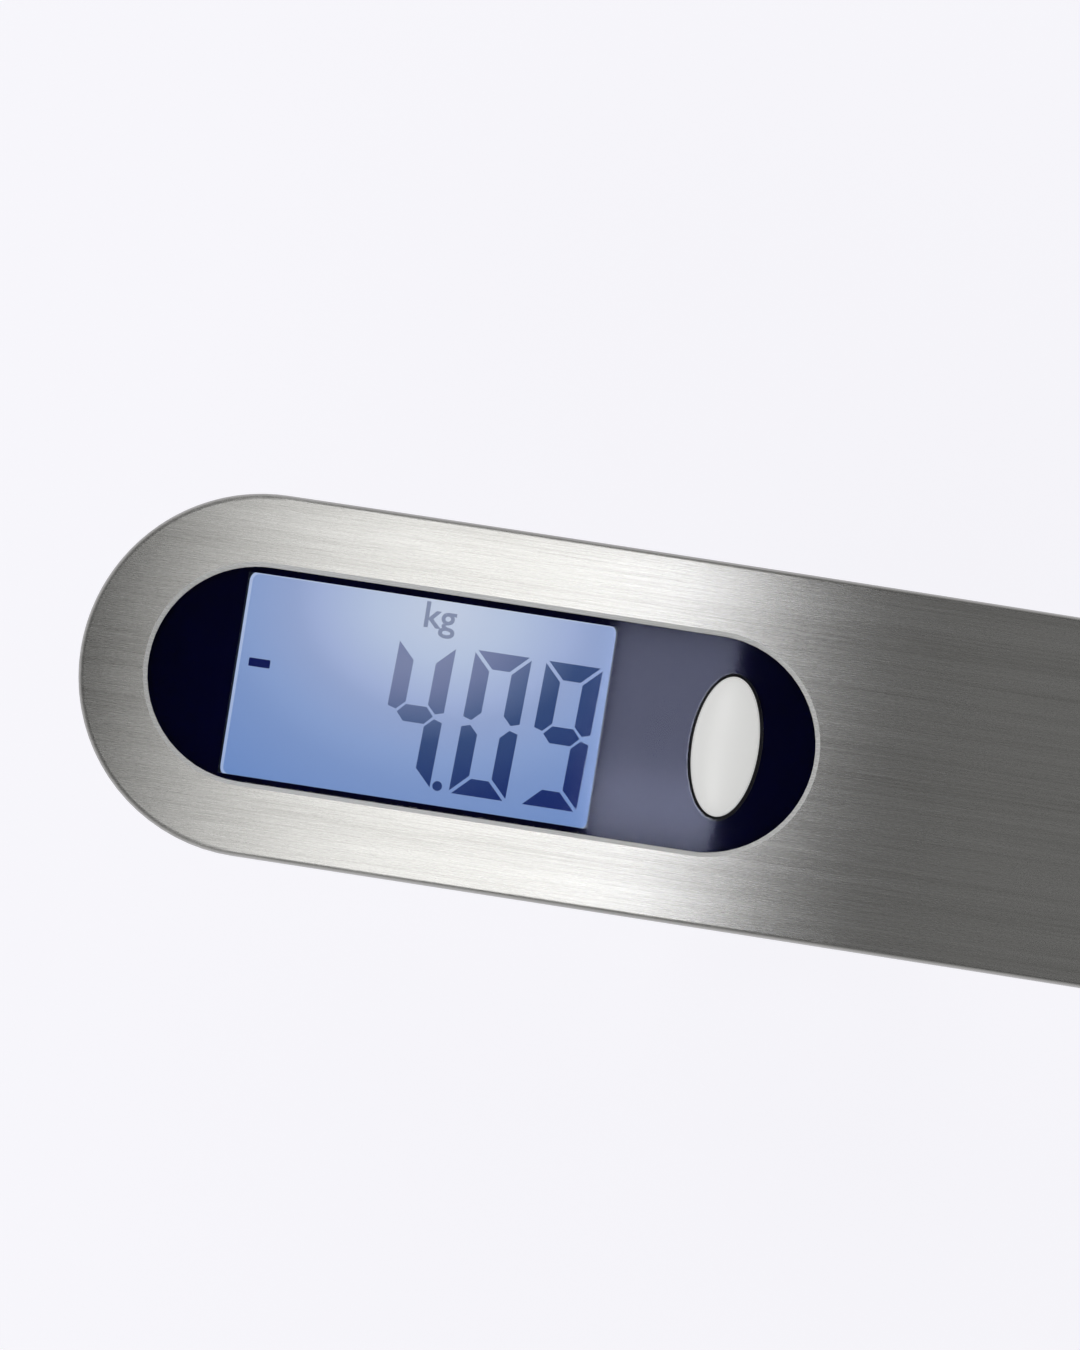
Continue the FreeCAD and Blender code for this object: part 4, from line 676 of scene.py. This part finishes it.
def strap_mesh(material):
    half_width = strap_ends()[3]
    section = webbing_section(half_width, PLY - PLY_GAP)
    path = strap_path()
    bm = bmesh.new()
    uv_layer = bm.loops.layers.uv.new("webbing")
    rings = []
    lengths = [0.0]
    for i, (point, outward) in enumerate(path):
        rings.append([bm.verts.new(point + outward * h + Vector((x, 0, 0))) for x, h in section])
        nearby = path[(i + 1) % len(path)][0]
        lengths.append(lengths[-1] + (nearby - point).length)
    count = len(section)
    for i, ring in enumerate(rings):
        after = rings[(i + 1) % len(rings)]
        for j in range(count):
            k = (j + 1) % count
            face = bm.faces.new((ring[j], after[j], after[k], ring[k]))
            before, behind = lengths[i], lengths[i + 1]
            corners = ((before, j), (behind, j), (behind, j + 1), (before, j + 1))
            for loop, (along, index) in zip(face.loops, corners):
                loop[uv_layer].uv = (along, section[index % count][0])
    bmesh.ops.recalc_face_normals(bm, faces=bm.faces)
    obj = finish_piece(mesh_object("strap_webbing", bm, material, smooth=True), "strap")
    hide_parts("webbing_strap")


def dashes(start, end):
    """Evenly spaced stitches between two points of a seam, as pairs of end points."""
    run = end - start
    count = max(1, round(run.length / STITCH_PITCH))
    along = run.normalized()
    for i in range(count):
        middle = start + run * ((i + 0.5) / count)
        yield middle - along * STITCH_LENGTH / 2, middle + along * STITCH_LENGTH / 2


def join_rows(bm, rows):
    """Faces between rings of points, and a cap on each end."""
    segments = len(rows[0])
    for first, second in zip(rows, rows[1:]):
        for k in range(segments):
            j = (k + 1) % segments
            bm.faces.new((first[k], second[k], second[j], first[j]))
    bm.faces.new(rows[0])
    bm.faces.new(list(reversed(rows[-1])))


def add_stitch(bm, start, end, outward, segments=8, rings=7):
    """A thread that rises out of the cloth at one end and sinks back at the other."""
    run = end - start
    side = run.cross(outward).normalized()
    rows = []
    for i in range(rings):
        t = i / (rings - 1)
        swell = math.sin(math.pi * (0.12 + 0.76 * t))
        centre = start + run * t + outward * STITCH_RADIUS * (swell - STITCH_SINK)
        row = []
        for k in range(segments):
            angle = TURN * k / segments
            direction = side * math.cos(angle) + outward * math.sin(angle)
            row.append(bm.verts.new(centre + direction * STITCH_RADIUS))
        rows.append(row)
    join_rows(bm, rows)


def strap_stitching(material):
    """A sewn box with a cross in it near each end, on both faces."""
    rod_z, bar_z, _, half_width = strap_ends()
    x = half_width - SEAM_MARGIN
    bm = bmesh.new()
    for top, bottom in ((rod_z - BOX_NEAR, rod_z - BOX_FAR), (bar_z + BOX_FAR, bar_z + BOX_NEAR)):
        for face in (1, -1):
            y = face * (PLY - PLY_GAP / 2)
            corners = [Vector((-x, y, top)), Vector((x, y, top)),
                       Vector((x, y, bottom)), Vector((-x, y, bottom))]
            seams = list(zip(corners, corners[1:] + corners[:1]))
            seams += [(corners[0], corners[2]), (corners[1], corners[3])]
            for start, end in seams:
                for first, last in dashes(start, end):
                    add_stitch(bm, first, last, Vector((0, face, 0)))
    bmesh.ops.recalc_face_normals(bm, faces=bm.faces)
    finish_piece(mesh_object("strap_stitching", bm, material, smooth=True), "strap")


# ---------------------------------------------------------------- gate spring
def gate_coil(material, turns=4, wire=0.2 * MM, steps=28, segments=8):
    """A helical coil of round wire in the place of the spring's sleeve."""
    low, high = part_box("gate_spring")
    centre = (low + high) / 2
    radius = (high.x - low.x) / 2 - wire
    pitch = (high.y - low.y - 2 * wire) / turns
    bm = bmesh.new()
    rows = []
    for i in range(turns * steps + 1):
        turn = i / steps
        radial = Vector((math.cos(TURN * turn), 0, math.sin(TURN * turn)))
        point = Vector((centre.x, low.y + wire + pitch * turn, centre.z)) + radial * radius
        row = []
        for k in range(segments):
            angle = TURN * k / segments
            direction = radial * math.cos(angle) + Vector((0, 1, 0)) * math.sin(angle)
            row.append(bm.verts.new(point + direction * wire))
        rows.append(row)
    join_rows(bm, rows)
    bmesh.ops.recalc_face_normals(bm, faces=bm.faces)
    obj = finish_piece(mesh_object("gate_coil", bm, material, smooth=True), "hook")
    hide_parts("gate_spring")


def main():
    paint_nodes()
    bond_mask()
    display_pieces()
    strap_mesh(woven_polyester())
    strap_stitching(sewing_thread())
    gate_coil(brushed_metal("coil_wire", (0.55, 0.55, 0.54), 0.25))


main()


# ---------------------------------------------------------------- stage, light and camera
FLOOR_HALF = 12.0
FLOOR_DROP = 0.03            # the hook hangs this far above the floor


def floor():
    g = Graph("studio_floor")
    cloud = g.noise(3.0, 2.0)
    tone = g.ramp(cloud, [(0.3, (0.822, 0.814, 0.858)), (0.7, (0.828, 0.820, 0.864))])
    shader = g.surface(Base_Color=(0.25, 0.25, 0.25), Roughness=0.9, Emission_Strength=1.0)
    g.put(shader, "Emission Color", tone)
    bm = bmesh.new()
    bmesh.ops.create_grid(bm, x_segments=8, y_segments=8, size=FLOOR_HALF)
    obj = mesh_object("studio_floor", bm, g.material)
    obj.location.z = CAD_BOX[0].z - FLOOR_DROP


LIGHT_HEIGHT = 1.0
# each softbox: its name, its left and right edges along X, and its radiance
SOFTBOXES = (
    ("fade", -0.420, -0.355, 1.2),
    ("shoulder", -0.355, -0.300, 2.05),
    ("key", -0.300, -0.100, 2.85),
    ("edge", -0.100, -0.045, 4.2),
    ("fill", 0.075, 0.600, 0.32),
)
# two rows of them, each with its edges along Y, and between the rows a dark gap above the window
ROWS = (("front", -0.60, -0.01), ("back", 0.10, 0.66))
# cool strips that the glossy window mirrors beside the display: edges along Y, and radiance
STRIP_EDGES = (-0.114, -0.039)
STRIP_COLOUR = (0.88, 0.94, 1.36)
STRIPS = (("window_strip", 0.036, 0.070, 2.8), ("window_strip_near", 0.020, 0.036, 4.4))
# pale walls: the light from all round, low down and overhead, and how steep each is (sine)
WALL_LIGHT = 0.86
ZENITH_LIGHT = 0.02
WALL_FOOT = 0.0
ZENITH_FOOT = 0.7


def overhead_light(name, left, right, near, far, radiance, colour=(1.0, 1.0, 1.0)):
    """A softbox facing down, given by its edges along X and Y and by how bright its face is."""
    data = bpy.data.lights.new(name, "AREA")
    data.shape = "RECTANGLE"
    data.size = right - left
    data.size_y = far - near
    data.energy = radiance * math.pi * data.size * data.size_y
    data.color = colour
    obj = bpy.data.objects.new(name, data)
    bpy.context.scene.collection.objects.link(obj)
    obj.location = ((left + right) / 2, (near + far) / 2, LIGHT_HEIGHT)
    obj.visible_camera = False


def room():
    world = bpy.data.worlds.new("studio_world")
    bpy.context.scene.world = world
    world.use_nodes = True
    nodes, links = world.node_tree.nodes, world.node_tree.links
    split = nodes.new("ShaderNodeSeparateXYZ")
    sky = nodes.new("ShaderNodeMapRange")
    links.new(nodes.new("ShaderNodeTexCoord").outputs["Generated"], split.inputs[0])
    links.new(split.outputs[2], sky.inputs["Value"])
    links.new(sky.outputs[0], nodes["Background"].inputs["Color"])
    for key, value in (("From Min", WALL_FOOT), ("From Max", ZENITH_FOOT),
                       ("To Min", WALL_LIGHT), ("To Max", ZENITH_LIGHT)):
        sky.inputs[key].default_value = value


def lights():
    for side, near, far in ROWS:
        for name, left, right, radiance in SOFTBOXES:
            overhead_light(name + "_" + side, left, right, near, far, radiance)
    for name, near, far, radiance in STRIPS:
        overhead_light(name, *STRIP_EDGES, near, far, radiance, STRIP_COLOUR)


CAMERA_TURN = (-2.9, -0.1, -8.9)                    # the object as the camera sees it, in degrees
CAMERA_OFFSET = (31.25 * MM, -9.81 * MM, -797.3 * MM)
CAMERA_LENS = 207.3                                 # millimetres, on a 36 mm sensor


def camera():
    seen = Euler([math.radians(angle) for angle in CAMERA_TURN], "XYZ").to_matrix().to_4x4()
    seen.translation = Vector(CAMERA_OFFSET)
    data = bpy.data.cameras.new("photo_camera")
    data.sensor_width = 36.0
    data.lens = CAMERA_LENS
    data.clip_start = 0.01
    data.clip_end = 100.0
    obj = bpy.data.objects.new("photo_camera", data)
    bpy.context.scene.collection.objects.link(obj)
    obj.matrix_world = seen.inverted()
    bpy.context.scene.camera = obj


floor()
room()
lights()
camera()
bpy.context.scene.view_settings.view_transform = "Standard"
